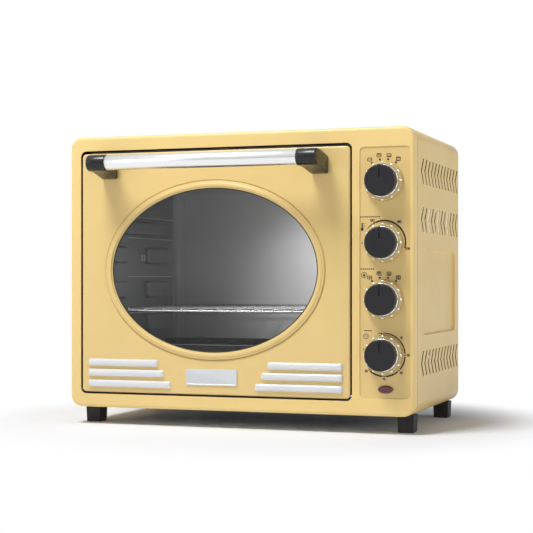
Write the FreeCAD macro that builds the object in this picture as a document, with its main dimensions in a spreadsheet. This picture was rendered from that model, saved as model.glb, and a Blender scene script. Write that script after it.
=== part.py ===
import FreeCAD, Part
import math
import os
import Sketcher

# Counter-top electric oven with a drop-down door.
# Body frame used below: x = 0 on the centre line of the casing, y = 0 on the
# front sheet, z = 0 on the underside of the casing.  Every piece is then placed
# with the same shift, so that the finished object stands on z = 0 with its
# bounding box centred on the origin.

V = FreeCAD.Vector
R = FreeCAD.Rotation
doc = FreeCAD.newDocument("counter_oven")
sheet = doc.addObject("Spreadsheet::Sheet", "dims")


class Dim:
    """A number together with the sheet expression that gives it."""

    def __init__(self, value, text):
        self.value = float(value)
        self.text = text

    def __add__(self, o):
        o = dim(o)
        return Dim(self.value + o.value, "(%s + %s)" % (self.text, o.text))

    def __radd__(self, o):
        return dim(o) + self

    def __sub__(self, o):
        o = dim(o)
        return Dim(self.value - o.value, "(%s - %s)" % (self.text, o.text))

    def __rsub__(self, o):
        return dim(o) - self

    def __mul__(self, o):
        o = dim(o)
        return Dim(self.value * o.value, "(%s * %s)" % (self.text, o.text))

    def __rmul__(self, o):
        return dim(o) * self

    def __truediv__(self, o):
        o = dim(o)
        return Dim(self.value / o.value, "(%s / %s)" % (self.text, o.text))

    def __neg__(self):
        return Dim(-self.value, "(0 - %s)" % self.text)


def dim(v):
    return v if isinstance(v, Dim) else Dim(v, "(%.6f)" % float(v))


def val(v):
    return v.value if isinstance(v, Dim) else float(v)


class Sizes:
    pass


S = Sizes()
ROWS = [
    # casing
    ("body_w", 495.0), ("body_tall", 378.0), ("body_deep", 282.0), ("wall", 1.0),
    ("corner_r", 16.0), ("edge_r", 4.5), ("frame_deep", 18.0), ("seam", 2.4), ("front_t", 1.2),
    ("shift_y", 118.0), ("foot_tall", 24.0), ("foot_w", 23.0), ("foot_deep", 24.0),
    ("foot_x", 228.1), ("foot_front_y", 44.0), ("foot_rear_y", 260.0), ("foot_taper", 1.0),
    ("rear_bulge_y", 292.25), ("shelf_t", 0.8),
    # door opening and door
    ("open_left", -231.2), ("open_right", 164.1), ("open_low", 18.8), ("open_high", 358.2),
    ("open_r", 8.0), ("flange_deep", 16.0), ("door_gap", 2.6), ("door_r", 6.0),
    ("door_edge_r", 2.5), ("door_skin", 0.8), ("door_deep", 15.0),
    ("window_x", -32.4), ("window_z", 191.1), ("window_a", 149.5), ("window_b", 112.0),
    ("rim_a", 158.0), ("rim_b", 122.5), ("rim_proud", 3.0), ("glass_t", 4.0),
    ("hinge_y", 4.0), ("hinge_z", 25.0), ("pin_r", 1.5), ("pin_play", 0.05),
    # handle
    ("tube_r", 10.35), ("tube_bore_r", 9.0), ("cap_r", 11.25), ("tube_y", -45.0), ("tube_z", 337.3),
    ("capl_out", -196.9), ("capl_in", -169.7), ("capr_in", 103.7), ("capr_out", 131.6),
    ("footl_in", -174.8), ("footr_in", 109.4), ("bracket_foot_low", 318.2), ("bracket_foot_high", 342.5),
    # decorations
    ("bar_tall", 10.0), ("bar_proud", 4.0), ("bar_row_top", 63.0), ("bar_row_mid", 48.7), ("bar_row_low", 33.7),
    ("bar_left_start", -218.8), ("bar_right_end", 151.5), ("bar_end_top", -113.0), ("bar_end_mid", -103.9), ("bar_end_low", -94.1),
    ("bar_start_top", 46.7), ("bar_start_mid", 37.9), ("bar_start_low", 28.8),
    ("badge_left", -70.5), ("badge_right", 3.1), ("badge_low", 34.3), ("badge_high", 56.4), ("badge_t", 1.6),
    # control panel
    ("fascia_left", 174.5), ("fascia_right", 242.2), ("fascia_low", 23.5), ("fascia_high", 352.0),
    ("knob_x", 207.0), ("knob_z_a", 306.6), ("knob_z_b", 226.4), ("knob_z_c", 152.5), ("knob_z_d", 80.4),
    ("skirt_r", 26.2), ("skirt_top_r", 23.0), ("knob_r", 20.5), ("knob_front", -24.0), ("ring_r", 21.4),
    ("stud_r", 1.5), ("stud_ring", 24.5), ("shaft_r", 3.0), ("shaft_play", 0.05),
    ("lens_a", 10.35), ("lens_b", 5.15), ("lens_x", 209.3), ("lens_z", 35.3),
    # cavity
    ("cav_left", -200.0), ("cav_right", 133.0), ("cav_low", 38.2), ("cav_high", 345.0),
    ("cav_front", 17.0), ("cav_back", 262.0), ("pad_deep", 7.0),
    ("pad_a_low", 52.0), ("pad_a_high", 78.0), ("pad_b_low", 101.0), ("pad_b_high", 127.0),
    ("pad_c_low", 151.0), ("pad_c_high", 176.0), ("pad_d_low", 202.0), ("pad_d_high", 226.0),
    ("band_low", 244.0), ("band_high", 264.0), ("pad_f_near", 28.0), ("pad_f_far", 75.0),
    ("pad_r_near", 150.0), ("pad_r_far", 225.0), ("band_near", 70.0), ("band_far", 220.0),
    # heating rods
    ("rod_r", 3.4), ("rod_high_z", 322.0), ("rod_low_z", 50.6), ("rod_near_y", 105.0), ("rod_far_y", 238.0), ("ferrule_r", 7.5),
    # rack and trays
    ("rail_r", 2.0), ("bar_r", 1.4), ("wire_r", 1.2), ("rack_lift", 5.6), ("rear_lift", 9.6), ("rack_half", 161.4), ("rack_front", 22.5), ("rack_back", 250.0),
    ("tray_lip_z", 88.0), ("tray_bottom_z", 58.0), ("tray_front", 25.0), ("tray_back", 250.0), ("tray_t", 0.8),
    # vents
    ("vent_pitch", 19.8), ("vent_first", 52.0), ("vent_w", 6.0), ("vent_lead", 12.4),
    ("recess_deep", 3.4), ("recess_near", 54.0), ("recess_far", 256.0), ("recess_low", 104.6), ("recess_high", 218.3),
    # fan
    ("fan_y", 112.5), ("fan_z", 185.0), ("fan_r", 52.0), ("fan_shaft_r", 3.0),
    # cord gland
    ("gland_x", 205.0), ("gland_z", 62.0), ("gland_bore_r", 3.6), ("gland_long", 15.0),
]
for number, (alias, value) in enumerate(ROWS, start=1):
    sheet.set("A%d" % number, alias.replace("_", " "))
    sheet.set("B%d" % number, "%g" % value)
    sheet.setAlias("B%d" % number, alias)
    setattr(S, alias, Dim(value, "dims." + alias))
doc.recompute()

parts = []
made = 0
ORIGIN_Y = -S.shift_y
ORIGIN_Z = S.foot_tall


def fresh(prefix):
    global made
    made += 1
    return "%s_%03d" % (prefix, made)


def bind(obj, prop, v):
    if "." not in prop:
        setattr(obj, prop, val(v))
    obj.setExpression(prop, dim(v).text)


def place(obj, x, y, z, rot=None):
    obj.Placement = FreeCAD.Placement(V(val(x), val(y), val(z)), rot if rot else R())
    for axis, v in (("x", x), ("y", y), ("z", z)):
        obj.setExpression("Placement.Base." + axis, dim(v).text)


def finish(label, obj):
    """Name a piece and put it where it belongs in the finished object."""
    obj.Label = label
    if not obj.isDerivedFrom("Part::Feature") or obj.TypeId in ("Part::Box", "Part::Cylinder", "Part::Cone"):
        raise SystemExit("wrap %s before finishing it" % label)
    place(obj, 0, ORIGIN_Y, ORIGIN_Z)
    parts.append(obj)
    return obj


def box(x0, x1, y0, y1, z0, z1):
    o = doc.addObject("Part::Box", fresh("block"))
    bind(o, "Length", dim(x1) - x0)
    bind(o, "Width", dim(y1) - y0)
    bind(o, "Height", dim(z1) - z0)
    place(o, x0, y0, z0)
    return o


TURN = {"x": R(V(0, 1, 0), 90), "y": R(V(1, 0, 0), -90), "z": R()}


def cyl(axis, a, b, u, v, r):
    """Round bar along an axis from a to b; u, v are the other two coordinates in x, y, z order."""
    o = doc.addObject("Part::Cylinder", fresh("round"))
    bind(o, "Radius", r)
    bind(o, "Height", dim(b) - a)
    base = {"x": (a, u, v), "y": (u, a, v), "z": (u, v, a)}[axis]
    place(o, base[0], base[1], base[2], TURN[axis])
    return o


def oval(x, z, a, b, y0, y1):
    """Elliptic slab in the x-z plane between y0 and y1."""
    e = doc.addObject("Part::Ellipse", fresh("oval"))
    bind(e, "MajorRadius", a)
    bind(e, "MinorRadius", b)
    place(e, x, y0, z, R(V(1, 0, 0), 90))
    o = doc.addObject("Part::Extrusion", fresh("ovalslab"))
    o.Base = e
    o.DirMode = "Custom"
    o.Dir = V(0, 1, 0)
    bind(o, "LengthFwd", dim(y1) - y0)
    o.Solid = True
    return o


def group(items):
    o = doc.addObject("Part::Compound", fresh("group"))
    o.Links = items
    return o


def cut(base, *tools):
    o = doc.addObject("Part::Cut", fresh("cut"))
    o.Base = base
    o.Tool = tools[0] if len(tools) == 1 else group(list(tools))
    return o


def fuse(*items):
    o = doc.addObject("Part::MultiFuse", fresh("join"))
    o.Shapes = list(items)
    o.Refine = True
    return o


def common(a, b):
    o = doc.addObject("Part::Common", fresh("meet"))
    o.Base = a
    o.Tool = b
    return o


def along(axis):
    k = "xyz".index(axis)

    def pick(e):
        if e.Curve.TypeId != "Part::GeomLine":
            return False
        t = e.tangentAt(e.FirstParameter)
        return abs(abs((t.x, t.y, t.z)[k]) - 1) < 1e-6
    return pick


def inplane(axis, value):
    k = "xyz".index(axis)
    value = val(value)

    def pick(e):
        b = e.BoundBox
        lo = (b.XMin, b.YMin, b.ZMin)[k]
        hi = (b.XMax, b.YMax, b.ZMax)[k]
        return abs(lo - value) < 1e-4 and abs(hi - value) < 1e-4
    return pick


def fillet(base, pick, r):
    doc.recompute()
    o = doc.addObject("Part::Fillet", fresh("round_edge"))
    o.Base = base
    ids = [n for n, e in enumerate(base.Shape.Edges, start=1) if pick(e)]
    if not ids:
        raise SystemExit("no edge to round on " + base.Name)
    o.Edges = [(n, val(r), val(r)) for n in ids]
    return o


def rbox(x0, x1, y0, y1, z0, z1, axis, r, face=None, face_r=None):
    o = fillet(box(x0, x1, y0, y1, z0, z1), along(axis), r)
    if face:
        o = fillet(o, inplane(face[0], face[1]), face_r)
    return o


def plane_of(body, role):
    return [f for f in body.Origin.OriginFeatures if f.Role == role][0]


def point_constraint(sk, n, which, geo, p):
    for kind, ref, v, on in (("DistanceX", -1, p[0], -2), ("DistanceY", -1, p[1], -1)):
        v = dim(v)
        if abs(v.value) < 1e-9:
            sk.addConstraint(Sketcher.Constraint("PointOnObject", geo, which, on))
        elif v.value > 0:
            c = sk.addConstraint(Sketcher.Constraint(kind, -1, 1, geo, which, v.value))
            sk.setExpression("Constraints[%d]" % c, v.text)
        else:
            c = sk.addConstraint(Sketcher.Constraint(kind, geo, which, -1, 1, -v.value))
            sk.setExpression("Constraints[%d]" % c, (-v).text)


def sketch(body, role, level, loops=(), discs=()):
    """Closed straight-sided loops and discs on one of the body's own planes, level mm along its normal."""
    sk = body.newObject("Sketcher::SketchObject", fresh("sketch"))
    sk.AttachmentSupport = [(plane_of(body, role), "")]
    sk.MapMode = "FlatFace"
    sk.AttachmentOffset = FreeCAD.Placement(V(0, 0, val(level)), R())
    sk.setExpression("AttachmentOffset.Base.z", dim(level).text)
    for pts in loops:
        first = sk.GeometryCount
        n = len(pts)
        for i in range(n):
            a, b = pts[i], pts[(i + 1) % n]
            sk.addGeometry(Part.LineSegment(V(val(a[0]), val(a[1]), 0), V(val(b[0]), val(b[1]), 0)), False)
        for i in range(n):
            sk.addConstraint(Sketcher.Constraint("Coincident", first + i, 2, first + (i + 1) % n, 1))
        for i in range(n):
            point_constraint(sk, n, 1, first + i, pts[i])
    for (u, v, r) in discs:
        g = sk.addGeometry(Part.Circle(V(val(u), val(v), 0), V(0, 0, 1), val(r)), False)
        point_constraint(sk, 1, 3, g, (u, v))
        c = sk.addConstraint(Sketcher.Constraint("Radius", g, val(r)))
        sk.setExpression("Constraints[%d]" % c, dim(r).text)
    return sk


def rect(u0, u1, v0, v1):
    return [(u0, v0), (u1, v0), (u1, v1), (u0, v1)]


def body_of(label):
    return doc.addObject("PartDesign::Body", fresh(label))


def pad(body, sk, length, back=False, both=False):
    p = body.newObject("PartDesign::Pad", fresh("pad"))
    p.Profile = sk
    p.Length = val(length)
    p.setExpression("Length", dim(length).text)
    p.Reversed = back
    p.Midplane = both
    return p


def pocket(body, sk, length, back=False, both=False):
    doc.recompute()
    before = body.Shape.Volume
    p = body.newObject("PartDesign::Pocket", fresh("pocket"))
    p.Profile = sk
    p.Length = val(length)
    p.setExpression("Length", dim(length).text)
    p.Reversed = back
    p.Midplane = both
    doc.recompute()
    if not p.Shape.Volume < before - 1e-6:
        raise SystemExit("pocket %s in %s cuts nothing" % (p.Name, body.Name))
    return p


def body_fillet(body, pick, r):
    doc.recompute()
    base = body.Tip
    ids = ["Edge%d" % n for n, e in enumerate(base.Shape.Edges, start=1) if pick(e)]
    if not ids:
        raise SystemExit("no edge to round in " + body.Name)
    f = body.newObject("PartDesign::Fillet", fresh("blend"))
    f.Base = (base, ids)
    f.Radius = val(r)
    if isinstance(r, Dim):
        f.setExpression("Radius", r.text)
    return f


def revolve(body, sk, axis="V_Axis"):
    p = body.newObject("PartDesign::Revolution", fresh("turn"))
    p.Profile = sk
    p.ReferenceAxis = (sk, [axis])
    p.Angle = 360.0
    return p


half_w = S.body_w / 2

# ---------------------------------------------------------------- casing

# Front frame: one pressed sheet with a rolled side flange, the door opening with
# its inward flange, and the opening that the control fascia shows through.
outer = rbox(-half_w, half_w, 0, S.frame_deep, 0, S.body_tall, "y", S.corner_r, ("y", 0), S.edge_r)
inner = rbox(-half_w + S.wall, half_w - S.wall, S.front_t, S.frame_deep + 5, S.wall, S.body_tall - S.wall,
             "y", S.corner_r - 1, ("y", S.front_t), S.edge_r - 1)
shell = cut(outer, inner)
flange = rbox(S.open_left - 1, S.open_right + 1, 0.6, S.flange_deep, S.open_low - 1, S.open_high + 1, "y", S.open_r + 1)
opening = rbox(S.open_left, S.open_right, -5, S.flange_deep + 5, S.open_low, S.open_high, "y", S.open_r)
fascia_hole = rbox(S.fascia_left, S.fascia_right, -5, 8, S.fascia_low, S.fascia_high, "y", 6)
front_frame = cut(fuse(shell, flange), opening, fascia_hole,
                  cyl("x", S.open_left - 20, S.open_right + 20, S.hinge_y, S.hinge_z, S.pin_r + S.pin_play))
finish("front_frame", front_frame)

# Control fascia: flat sheet set behind the frame's opening, with the shaft holes
# and the oval lamp hole.
knob_z = [S.knob_z_a, S.knob_z_b, S.knob_z_c, S.knob_z_d]
plate = rbox(S.fascia_left - 7, S.fascia_right + 0.7, S.front_t, S.front_t + 1.2, S.fascia_low - 10, S.fascia_high + 10, "y", 6)
holes = [cyl("y", 0, 10, S.knob_x, z, 4.6) for z in knob_z]
lamp_hole = oval(S.lens_x, S.lens_z, S.lens_a - 0.6, S.lens_b - 0.6, 0, 10)
finish("control_fascia", cut(plate, lamp_hole, *holes))

# Wrap: one sheet bent over both sides and the top, with short returns under the
# bottom; chevron vents in three bands and a pressed recess on each side.
wrap = body_of("wrap")
sk = sketch(wrap, "XZ_Plane", -(S.frame_deep + S.seam), [rect(-half_w, half_w, 0, S.body_tall)])
pad(wrap, sk, S.body_deep - S.wall - S.frame_deep - S.seam, back=True)
body_fillet(wrap, along("y"), S.corner_r)
t = S.wall
inside = rbox(-half_w + t, half_w - t, 10, S.body_deep + 5, t, S.body_tall - t, "y", S.corner_r - 1)
under = box(-205, 205, 10, S.body_deep + 5, -5, 5)
tube = cut(wrap, inside, under)
backing = []
recess = []
for side in (-1, 1):
    a, b = side * (half_w - S.recess_deep - 1), side * (half_w - 0.4)
    lo, hi = (b, a) if side < 0 else (a, b)
    floor_x = side * (half_w - S.recess_deep - 1)
    backing.append(rbox(lo, hi, S.recess_near - 1, S.recess_far + 1, S.recess_low - 1, S.recess_high + 1, "x", 9, ("x", floor_x), 2.2))
    a, b = side * (half_w - S.recess_deep), side * (half_w + 5)
    lo, hi = (b, a) if side < 0 else (a, b)
    floor_x = side * (half_w - S.recess_deep)
    recess.append(rbox(lo, hi, S.recess_near, S.recess_far, S.recess_low, S.recess_high, "x", 8, ("x", floor_x), 1.8))
vents = body_of("vents")
loops = []
for low, mid, high in ((50.4, 67.0, 83.5), (241.0, 258.0, 274.7), (305.4, 322.5, 339.0)):
    y0 = S.vent_first - S.vent_lead
    loops.append([(S.vent_first, low), (S.vent_first + S.vent_w, low), (y0 + S.vent_w, mid),
                  (S.vent_first + S.vent_w, high), (S.vent_first, high), (y0, mid)])
sk = sketch(vents, "YZ_Plane", 0, loops)
one = pad(vents, sk, S.body_w + 20, both=True)
row = vents.newObject("PartDesign::LinearPattern", "vent_row")
row.Originals = [one]
row.Direction = (sk, ["H_Axis"])
row.Length = 11 * val(S.vent_pitch)
row.setExpression("Length", (S.vent_pitch * 11).text)
row.Occurrences = 12
vents.Tip = row
finish("housing_wrap", cut(fuse(tube, *backing), vents, *recess))

# Base plate lying on the returns.
finish("base_plate", cut(rbox(-231, 231, S.frame_deep + 0.2, S.body_deep - 1.2, S.wall, S.wall + 1.2, "z", 3),
                         *[box(-120 + 24 * k, -112 + 24 * k, 60, 220, -2, 6) for k in range(11)]))

# Rear panel with its stand-off bulge and louvre slots.
rear = rbox(-half_w, half_w, S.body_deep - S.wall, S.body_deep, 0, S.body_tall, "y", S.corner_r)
bulge = rbox(-190, 150, S.body_deep - 0.5, S.rear_bulge_y, 70, 320, "y", 14, ("y", S.rear_bulge_y), 3)
hollow = rbox(-189, 149, S.body_deep - 3, S.rear_bulge_y - 1, 71, 319, "y", 13, ("y", S.rear_bulge_y - 1), 2)
slots = [box(-150 + 32 * k, -132 + 32 * k, 270, 300, zz, zz + 5) for k in range(9) for zz in (100, 114, 128, 262, 276, 290)]
slots += [box(172 + 14 * k, 177 + 14 * k, 270, 300, 180, 300) for k in range(5)]
gland_hole = cyl("y", 270, 300, S.gland_x, S.gland_z, 8.0)
finish("rear_panel", cut(fuse(rear, bulge), hollow, gland_hole, *slots))

# Eight pan-head screws in the rear panel.
screws = []
for x, z in ((-232, 30), (232, 30), (-232, 189), (232, 150), (-232, 348), (232, 348), (-80, 358), (80, 358)):
    screws.append(fillet(cyl("y", S.body_deep, S.body_deep + 2.6, x, z, 4.0), inplane("y", S.body_deep + 2.6), 1.4))
finish("rear_screws", group(screws))

# Feet: four tapered blocks, wider at the top.
feet = []
for sx in (-1, 1):
    for fy in (S.foot_front_y, S.foot_rear_y):
        w = doc.addObject("Part::Wedge", fresh("foot"))
        hw, hd, tp = S.foot_w / 2, S.foot_deep / 2, S.foot_taper
        # local Y runs up the foot
        for prop, v in (("Xmin", -hw + tp), ("Xmax", hw - tp), ("X2min", -hw), ("X2max", hw),
                        ("Zmin", -hd + tp), ("Zmax", hd - tp), ("Z2min", -hd), ("Z2max", hd)):
            bind(w, prop, v)
        w.Ymin = 0
        bind(w, "Ymax", S.foot_tall)
        place(w, S.foot_x * sx, fy, -S.foot_tall, R(V(1, 0, 0), 90))
        feet.append(w)
finish("feet", group(feet))

# ---------------------------------------------------------------- cavity

ct = S.shelf_t


def side_wall(label, side):
    """Side wall of the cavity with pressed runners that stand into it."""
    b = body_of(label)
    face = S.cav_left if side < 0 else S.cav_right
    plate_level = face - ct if side < 0 else face
    # back=False pads towards +x
    sk = sketch(b, "YZ_Plane", plate_level, [rect(S.cav_front + 0.1, S.cav_back, S.cav_low, S.cav_high)])
    pad(b, sk, ct)
    runs = []
    for lo, hi in ((S.pad_a_low, S.pad_a_high), (S.pad_b_low, S.pad_b_high), (S.pad_c_low, S.pad_c_high), (S.pad_d_low, S.pad_d_high)):
        runs.append((S.pad_f_near, S.pad_f_far, lo, hi))
        runs.append((S.pad_r_near, S.pad_r_far, lo, hi))
    runs.append((S.band_near, S.band_far, S.band_low, S.band_high))
    sk = sketch(b, "YZ_Plane", face, [rect(*r) for r in runs])
    pad(b, sk, S.pad_deep, back=(side > 0))
    tip = face + S.pad_deep if side < 0 else face - S.pad_deep
    body_fillet(b, along_all_of_pads(face, tip), 5)
    body_fillet(b, inplane("x", tip), 3)
    start = face - ct if side < 0 else face + ct
    sk = sketch(b, "YZ_Plane", start, [rect(r[0] + 1.6, r[1] - 1.6, r[2] + 1.6, r[3] - 1.6) for r in runs])
    pocket(b, sk, S.pad_deep - 0.6, back=(side < 0))
    return b


def along_all_of_pads(face, tip):
    face, tip = val(face), val(tip)

    def pick(e):
        if e.Curve.TypeId != "Part::GeomLine":
            return False
        b = e.BoundBox
        lo, hi = min(face, tip), max(face, tip)
        return abs(b.XMin - lo) < 1e-4 and abs(b.XMax - hi) < 1e-4
    return pick


left_holes = [cyl("x", S.cav_left - 5, S.cav_left + 5, y, z, 4.5)
              for y in (S.rod_near_y, S.rod_far_y) for z in (S.rod_high_z, S.rod_low_z)]
finish("cavity_left_wall", cut(side_wall("leftwall", -1), *left_holes))
right_holes = [cyl("x", S.cav_right - 5, S.cav_right + 5, y, z, 4.5)
               for y in (S.rod_near_y, S.rod_far_y) for z in (S.rod_high_z, S.rod_low_z)]
fan_holes = []
for ring, count in ((0, 1), (10, 6), (20, 12), (30, 18)):
    for k in range(count):
        ang = 2 * math.pi * k / count
        fan_holes.append(cyl("x", S.cav_right - 10, S.cav_right + 5, S.fan_y + ring * math.cos(ang), S.fan_z + ring * math.sin(ang), 2.4))
finish("cavity_right_wall", cut(side_wall("rightwall", 1), *(right_holes + fan_holes)))
finish("cavity_roof", fuse(box(S.cav_left - ct, S.cav_right + ct, S.cav_front + 0.1, S.cav_back, S.cav_high, S.cav_high + ct),
                           box(S.cav_left - ct, S.cav_right + ct, S.cav_back - ct, S.cav_back, S.cav_high, S.cav_high + 8)))
floor_plate = box(S.cav_left - ct, S.cav_right + ct, S.cav_front + 0.1, S.cav_back, S.cav_low - ct, S.cav_low)
finish("cavity_floor", fuse(floor_plate, box(S.cav_left - ct, S.cav_right + ct, S.cav_back - ct, S.cav_back, S.cav_low - 8, S.cav_low)))
# Back wall with two pressed corner folds.
back = fuse(box(S.cav_left - 6, S.cav_right + 6, S.cav_back, S.cav_back + ct, S.cav_low - 6, S.cav_high + 6),
            box(S.cav_left + 0.1, S.cav_left + 8, S.cav_back - 3, S.cav_back + 0.4, S.cav_low + 0.2, S.cav_high - 0.2),
            box(S.cav_left + 0.1, S.cav_left + 15, S.cav_back - 1.2, S.cav_back + 0.4, S.cav_low + 0.2, S.cav_high - 0.2),
            box(S.cav_right - 8, S.cav_right - 0.1, S.cav_back - 3, S.cav_back + 0.4, S.cav_low + 0.2, S.cav_high - 0.2))
finish("cavity_back_wall", back)
# Collar: flat sheet that closes the space between the door opening and the cavity.
collar = rbox(S.open_left - 4, S.open_right + 4, S.flange_deep, S.flange_deep + 1, S.open_low - 3, S.open_high + 3, "y", 9)
mouth = rbox(S.cav_left, S.cav_right, 10, 30, S.cav_low, S.cav_high, "y", 4)
arm_slots = [box(-223, -219, 10, 30, 73.4, 83.8), box(149, 153, 10, 30, 73.4, 83.8)]
finish("cavity_collar", cut(collar, mouth, *arm_slots))

# Heating rods, straight through both side walls, on ceramic ferrules.
rods_hi, rods_lo, ferrules = [], [], []
for y in (S.rod_near_y, S.rod_far_y):
    rods_hi.append(cyl("x", S.cav_left - 16, S.cav_right + 16, y, S.rod_high_z, S.rod_r))
    rods_lo.append(cyl("x", S.cav_left - 16, S.cav_right + 16, y, S.rod_low_z, S.rod_r))
    for z in (S.rod_high_z, S.rod_low_z):
        for a, b in ((S.cav_left - 10, S.cav_left - ct), (S.cav_right + ct, S.cav_right + 10)):
            ferrules.append(cut(cyl("x", a, b, y, z, S.ferrule_r), cyl("x", a - 5, b + 5, y, z, S.rod_r + 0.05)))
finish("upper_heating_rods", group(rods_hi))
finish("lower_heating_rods", group(rods_lo))
finish("rod_insulators", group(ferrules))

# Convection fan beside the cavity, behind the controls.
fan_shell = cut(cyl("x", S.cav_right + ct, S.cav_right + 24, S.fan_y, S.fan_z, 41),
                cyl("x", S.cav_right, S.cav_right + 23, S.fan_y, S.fan_z, 40),
                cyl("x", S.cav_right, S.cav_right + 40, S.fan_y, S.fan_z, 3.6))
finish("fan_cowl", fan_shell)
fy, fz = S.fan_y, S.fan_z
motor = fuse(cyl("x", S.cav_right + 34, S.cav_right + 62, fy, fz, 24),
             box(S.cav_right + 24, S.cav_right + 34, fy - 6, fy + 6, fz - 32, fz - 20),
             box(S.cav_right + 24, S.cav_right + 34, fy - 6, fy + 6, fz + 20, fz + 32),
             box(S.cav_right + 33, S.cav_right + 36, fy - 6, fy + 6, fz - 32, fz + 32))
finish("fan_motor", cut(motor, cyl("x", S.cav_right + 20, S.cav_right + 56, fy, fz, S.fan_shaft_r + S.shaft_play)))
blades = []
for k in range(8):
    blade = box(S.cav_right + 6, S.cav_right + 18, -0.6, 0.6, 8, 34)
    ang = 45.0 * k
    blade.Placement = FreeCAD.Placement(V(0, val(fy), val(fz)), R(V(1, 0, 0), ang)).multiply(
        FreeCAD.Placement(V(val(S.cav_right) + 6, -0.6, 8), R()))
    for ax in ("x", "y", "z"):
        blade.setExpression("Placement.Base." + ax, None)
    blades.append(blade)
impeller = fuse(cyl("x", S.cav_right + 17, S.cav_right + 18.2, fy, fz, 35), cyl("x", S.cav_right + 6, S.cav_right + 20, fy, fz, 9),
                cyl("x", S.cav_right + 6, S.cav_right + 55, fy, fz, S.fan_shaft_r), *blades)
finish("fan_impeller", impeller)

# ---------------------------------------------------------------- controls behind the fascia

fb = S.front_t + 1.2


def control(label, z, deep, wide, tall):
    case = fuse(box(S.knob_x - wide / 2, S.knob_x + wide / 2, fb + 1, fb + deep, z - tall / 2, z + tall / 2),
                cyl("y", fb, fb + 2, S.knob_x, z, 8))
    return cut(case, cyl("y", -5, fb + 14, S.knob_x, z, S.shaft_r + S.shaft_play))


finish("function_switch", control("function_switch", knob_z[0], 30.0, 40.0, 34.0))
finish("thermostat", control("thermostat", knob_z[1], 34.0, 36.0, 44.0))
finish("convection_switch", control("convection_switch", knob_z[2], 30.0, 40.0, 34.0))
finish("timer", control("timer", knob_z[3], 42.0, 50.0, 46.0))
finish("pilot_lamp", fuse(cyl("y", S.front_t + 1.3, 22, S.lens_x, S.lens_z, 4.0),
                          cyl("y", 20, 28, S.lens_x, S.lens_z, 5.5)))
lens = fuse(oval(S.lens_x, S.lens_z, S.lens_a, S.lens_b, S.front_t - 2.6, S.front_t),
            oval(S.lens_x, S.lens_z, S.lens_a - 0.7, S.lens_b - 0.7, S.front_t - 0.5, S.front_t + 1.2))
finish("pilot_lens", fillet(lens, inplane("y", S.front_t - 2.6), 1.8))

# Cord gland in the rear panel.
g = fuse(cyl("y", S.body_deep, S.body_deep + 5, S.gland_x, S.gland_z, 11),
         cyl("y", S.body_deep - 10, S.body_deep + 1, S.gland_x, S.gland_z, 7.9))
g = fillet(g, inplane("y", S.body_deep + 5), 1.5)
finish("cord_gland", cut(g, cyl("y", S.body_deep - 20, S.body_deep + 20, S.gland_x, S.gland_z, S.gland_bore_r)))

# Hinge pins riveted in the flange of the front frame, one each side.
pins = [fuse(cyl("x", S.open_left - 5, S.open_left + 7, S.hinge_y, S.hinge_z, S.pin_r),
             box(S.open_left - 3.0, S.open_left - 1, S.hinge_y - 2.6, S.hinge_y + 9, S.hinge_z - 5, S.hinge_z + 14)),
        fuse(cyl("x", S.open_right - 7, S.open_right + 5, S.hinge_y, S.hinge_z, S.pin_r),
             box(S.open_right + 1, S.open_right + 3.0, S.hinge_y - 2.6, S.hinge_y + 9, S.hinge_z - 5, S.hinge_z + 14))]
finish("hinge_brackets", group(pins))

# ---------------------------------------------------------------- door

dl, dr = S.open_left + S.door_gap, S.open_right - S.door_gap
dz0, dz1 = S.open_low + S.door_gap, S.open_high - S.door_gap
ds = S.door_skin
skin = rbox(dl, dr, 0, 13.5, dz0, dz1, "y", S.door_r, ("y", 0), S.door_edge_r)
rim = oval(S.window_x, S.window_z, S.rim_a, S.rim_b, -S.rim_proud, 0.4)
rim = fillet(rim, inplane("y", -S.rim_proud), 2.2)
hollow = rbox(dl + ds, dr - ds, ds, 30, dz0 + ds, dz1 - ds, "y", S.door_r - 0.8, ("y", ds), S.door_edge_r - 0.8)
port = oval(S.window_x, S.window_z, S.window_a, S.window_b, -10, 20)
pin_hole = cyl("x", S.open_left - 20, S.open_right + 20, S.hinge_y, S.hinge_z, S.pin_r + S.pin_play)
finish("door_outer_panel", cut(fuse(skin, rim), hollow, port, pin_hole))

# Inner liner: sheet with a forward flange and the window opening.
il, ir, iz0, iz1 = dl + ds + 2.5, dr - ds - 2.5, dz0 + ds + 2.5, dz1 - ds - 2.5
liner = cut(rbox(il, ir, 6, S.door_deep, iz0, iz1, "y", 5), rbox(il + ds, ir - ds, 0, S.door_deep - ds, iz0 + ds, iz1 - ds, "y", 4.2))
look = rbox(-196, 131, 0, 30, 70, 312, "y", 40)
liner_slots = [box(-222.2, -219.8, 10, 30, 74.4, 83.6), box(149.8, 152.2, 10, 30, 74.4, 83.6)]
liner_pin = cyl("x", S.open_left - 20, S.open_right + 20, S.hinge_y, S.hinge_z, S.pin_r + 1.2)
finish("door_inner_panel", cut(liner, look, liner_pin, *liner_slots))

# Tempered glass behind the port, held by four clips.
glass = rbox(S.window_x - 168, S.window_x + 168, ds, ds + S.glass_t, S.window_z - 126, S.window_z + 126, "y", 30)
finish("door_glass", glass)
clips = []
for sx in (-1, 1):
    for sz in (-1, 1):
        x, z = S.window_x + sx * 130, S.window_z + sz * 128
        z0, z1 = (z - 12, z + 4) if sz > 0 else (z - 4, z + 12)
        zf0, zf1 = (z, z + 12) if sz > 0 else (z - 12, z)
        clips.append(fuse(box(x - 8, x + 8, ds + S.glass_t, ds + S.glass_t + 0.8, z0, z1),
                          box(x - 8, x + 8, ds, ds + 0.8, zf0, zf1),
                          box(x - 8, x + 8, ds, ds + S.glass_t + 0.8, z + (0.0 if sz > 0 else -0.8), z + (0.8 if sz > 0 else 0.0))))
finish("glass_clips", group(clips))

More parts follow.
